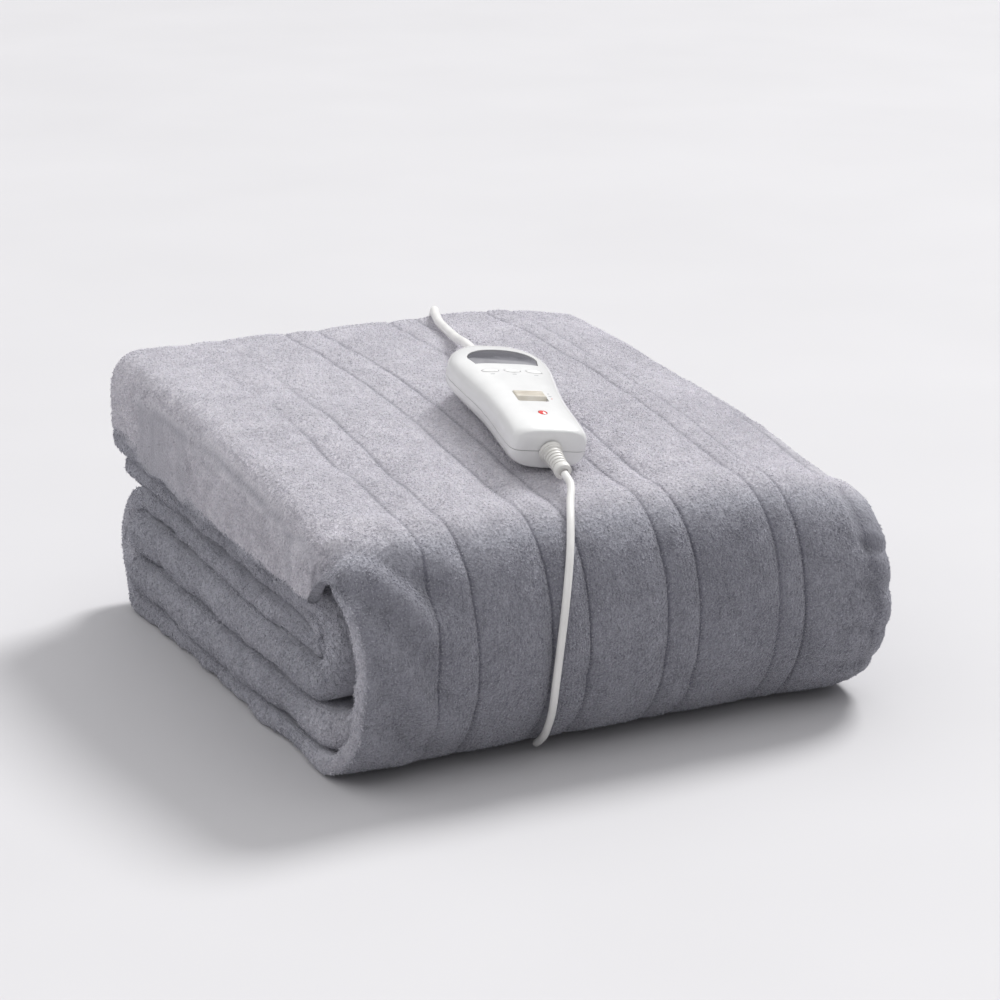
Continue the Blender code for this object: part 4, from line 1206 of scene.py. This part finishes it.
tailSleeve = {"direction": (0.06, -1.0, -0.12), "face": -0.0720, "foot": 0.0080}
headSleeve = {"direction": (-0.06, 1.0, -0.09), "face": 0.0730, "foot": 0.0066}
tailRows = [(0.0000, 0.0078), (0.0003, 0.0081), (0.0020, 0.0082), (0.0026, 0.0079), (0.0029, 0.0072),
            (0.0031, 0.0074), (0.0039, 0.0074), (0.0042, 0.0066)]
for rib in range(5):
    start = 0.0052 + 0.0030 * rib
    wide = 0.0064 - 0.00022 * rib
    tailRows += [(start, wide - 0.0008), (start + 0.0002, wide), (start + 0.0019, wide - 0.0001),
                 (start + 0.0021, wide - 0.0008)]
tailRows += [(0.0204, 0.0050), (0.0206, 0.0057), (0.0210, 0.0059), (0.0246, 0.0058), (0.0252, 0.0055),
             (0.0255, 0.0046), (0.0256, 0.0031), (0.0240, 0.0027)]
headRows = [(0.0000, 0.0064), (0.0004, 0.0066), (0.0018, 0.0065), (0.0022, 0.0059)]
for rib in range(4):
    start = 0.0036 + 0.0028 * rib
    wide = 0.0061 - 0.00020 * rib
    headRows += [(start, wide - 0.0006), (start + 0.0003, wide), (start + 0.0016, wide - 0.0001),
                 (start + 0.0019, wide - 0.0006)]
headRows += [(0.0160, 0.0051), (0.0200, 0.0047), (0.0228, 0.0043), (0.0230, 0.0040), (0.0215, 0.0034)]


def addSleeve(name, rows, look, finish, node):
    made = bpy.data.objects.new(name, revolve(name, rows))
    bpy.context.scene.collection.objects.link(made)
    made.data.materials.append(finish)
    made.data.shade_smooth()
    made.data.set_sharp_from_angle(angle=math.radians(40))
    direction = Vector(look["direction"])
    lean = math.sin(direction.angle(Vector((0, direction.y, 0))))
    start = Vector((0, look["face"] + math.copysign(0.0003 + look["foot"] * lean - 0.0020, direction.y), 0))
    turned = direction.to_track_quat("Z", "Y").to_matrix().to_4x4()
    made.matrix_world = controlFrame @ Matrix.Translation(start) @ turned
    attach(made, "throw")
    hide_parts(node)


buildControl()
sleeveFinish = mouldedFinish("sleeveRubber", (0.66, 0.65, 0.62), (0.76, 0.75, 0.72), 0.46, 800.0, 0.14)
addSleeve("tailSleeve", tailRows, tailSleeve, sleeveFinish, "tail_sleeve")
addSleeve("headSleeve", headRows, headSleeve, sleeveFinish, "head_sleeve")
say("controller built")


# tie and plug keep their CAD shape

def dressNode(name, finish):
    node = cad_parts[name]
    if not node.material_slots:
        node.data.materials.append(finish)
    for place in node.material_slots:
        place.link = "OBJECT"
        place.material = finish
    return node


tieFinish = mouldedFinish("tieBand", (0.70, 0.70, 0.69), (0.80, 0.80, 0.79), 0.5, 1100.0, 0.25)
plugFinish = mouldedFinish("plugBody", (0.76, 0.75, 0.73), (0.83, 0.82, 0.80), 0.34, 900.0, 0.12)
pinFinish = mouldedFinish("plugPins", (0.66, 0.60, 0.44), (0.78, 0.72, 0.55), 0.24, 700.0, 0.05, Metallic=1.0)
coilTie = dressNode("coil_tie", tieFinish)
plugPieces = [dressNode("plug_body", plugFinish), dressNode("plug_pin_left", pinFinish),
              dressNode("plug_pin_right", pinFinish)]


# pile goes on once everything that lies on the cloth is known

def pileKeep(base):
    # no tufts under the controller, and none that would stand through a lead
    local = np.array(controlFrame.inverted())
    own = base @ local[:3, :3].T + local[:3, 3]
    half = np.interp(own[:, 1], [r[0] for r in controlRibs], [r[1] for r in controlRibs])
    # share of the underside's height that is left at each place across
    across = np.clip(np.abs(own[:, 0]) / half, 0, 1)
    under = control["lowerHeight"] * (1 - across ** control["lowerPower"]) ** (1 / control["lowerPower"])
    inside = (np.abs(own[:, 1]) < 0.0735) & (across < 0.96) & (own[:, 2] > -under - 0.0012)
    clear = ~inside
    for path, lead in ((throwPath, throwLead), (mainsPath[:clothPart], mainsLead)):
        clear &= nearestOnPath(base, path) > lead["diameter"] / 2 + pile["leadRoom"]
    return clear


tuftFinish = plushFinish("plushTuft", True)
allQuads = np.concatenate(quads)
quadAt = clothAt.reshape(-1)[allQuads[:, 0]]
quadOuter = clothOuter.reshape(-1)[allQuads[:, 0]]
quadIndex = allQuads[:, 0] % outlineCount
corners = clothGrid.reshape(-1, 3)[allQuads]
centres = corners.mean(axis=1)
facing = np.cross(corners[:, 2] - corners[:, 0], corners[:, 3] - corners[:, 1])
facing /= np.maximum(np.linalg.norm(facing, axis=1), 1e-12)[:, None]
offFloor = centres[:, 2] > 0.004
outsideTurn = quadOuter & (quadIndex > 0)
onTop = outsideTurn & (quadAt < 1.0) & (np.abs(centres[:, 0]) < 0.19)
onFront = outsideTurn & (quadAt >= 1.0) & (quadAt < 1.88) & (centres[:, 0] < 0.19)
onLeft = offFloor & (centres[:, 0] < -0.150) & (facing[:, 0] < -0.25)
onLeft &= ~(outsideTurn & (centres[:, 0] > -0.19))
onRight = offFloor & (centres[:, 0] > 0.175) & (quadIndex < clothUpper)
onBack = offFloor & (centres[:, 1] > 0.195) & (quadIndex < clothUpper)
nearer = centres[:, 1] < -0.01
sideLength = pile["sideLength"]
tufts = [
    tuftMesh("pileTopFront", pile["tuftsTop"], allQuads[onTop & nearer], 61),
    tuftMesh("pileTopBack", pile["tuftsTop"], allQuads[onTop & ~nearer], 62),
    tuftMesh("pileFront", pile["tuftsFront"], allQuads[onFront], 63, True),
    tuftMesh("pileLeftFront", pile["tuftsLeft"], allQuads[onLeft & nearer], 64, False, sideLength),
    tuftMesh("pileLeftBack", pile["tuftsLeft"], allQuads[onLeft & ~nearer], 65, False, sideLength),
    tuftMesh("pileRight", pile["tuftsRight"], allQuads[onRight], 66),
    tuftMesh("pileBack", pile["tuftsBack"], allQuads[onBack], 67),
]
say("pile laid")


# floor and light

studio = {
    "floorColour": (0.58, 0.573, 0.585),
    "floorHalf": 12.0,
    "floorNear": -8.0,
    "sweepStart": 9.0,
    "sweepRadius": 3.0,
    "wallTop": 9.0,
    "worldColour": (0.93, 0.93, 0.95),
    "worldStrength": 0.50,
    "suns": (                    # name, where it stands, spread in degrees, watts per square metre
        ("key", (1.05, 0.60, 1.25), 18.0, 2.60),
        ("top", (-0.25, 0.45, 1.6), 110.0, 1.30),
    ),
}


def buildStudio(look):
    floorFinish, shader, coords = startFinish("paleFloor", look["floorColour"], 0.75)
    cloud = noiseNode(floorFinish, coords, 3.0, 2.0)
    shade = rampNode(floorFinish, cloud.outputs["Fac"], ((0.3, (0.57, 0.563, 0.575)),
                                                         (0.7, (0.59, 0.583, 0.595))))
    link(floorFinish, shade.outputs["Color"], shader.inputs["Base Color"])
    bm = bmesh.new()
    half, bend, radius = look["floorHalf"], look["sweepStart"], look["sweepRadius"]
    section = [(look["floorNear"], 0.0), (bend, 0.0)]
    for i in range(23):
        turn = math.radians(90) * i / 22
        section.append((bend + radius * math.sin(turn), radius - radius * math.cos(turn)))
    section.append((bend + radius, look["wallTop"]))
    rows = [[bm.verts.new((-half, y, z)), bm.verts.new((half, y, z))] for y, z in section]
    for low, high in zip(rows, rows[1:]):
        bm.faces.new((low[0], low[1], high[1], high[0]))
    data = bpy.data.meshes.new("floor")
    bm.to_mesh(data)
    bm.free()
    floor = addObject("floor", data, floorFinish, body=None)
    for name, place, spread, strength in look["suns"]:
        sunData = bpy.data.lights.new(name, "SUN")
        sunData.angle = math.radians(spread)
        sunData.energy = strength
        made = bpy.data.objects.new(name, sunData)
        bpy.context.scene.collection.objects.link(made)
        made.location = place
        made.rotation_euler = (-Vector(place)).to_track_quat("-Z", "Y").to_euler()
    world = bpy.data.worlds.new("studioWorld")
    world.use_nodes = True
    ground = world.node_tree.nodes["Background"]
    ground.inputs["Color"].default_value = (*look["worldColour"], 1.0)
    ground.inputs["Strength"].default_value = look["worldStrength"]
    bpy.context.scene.world = world
    bpy.context.scene.view_settings.view_transform = "Standard"


buildStudio(studio)
say("studio lit")
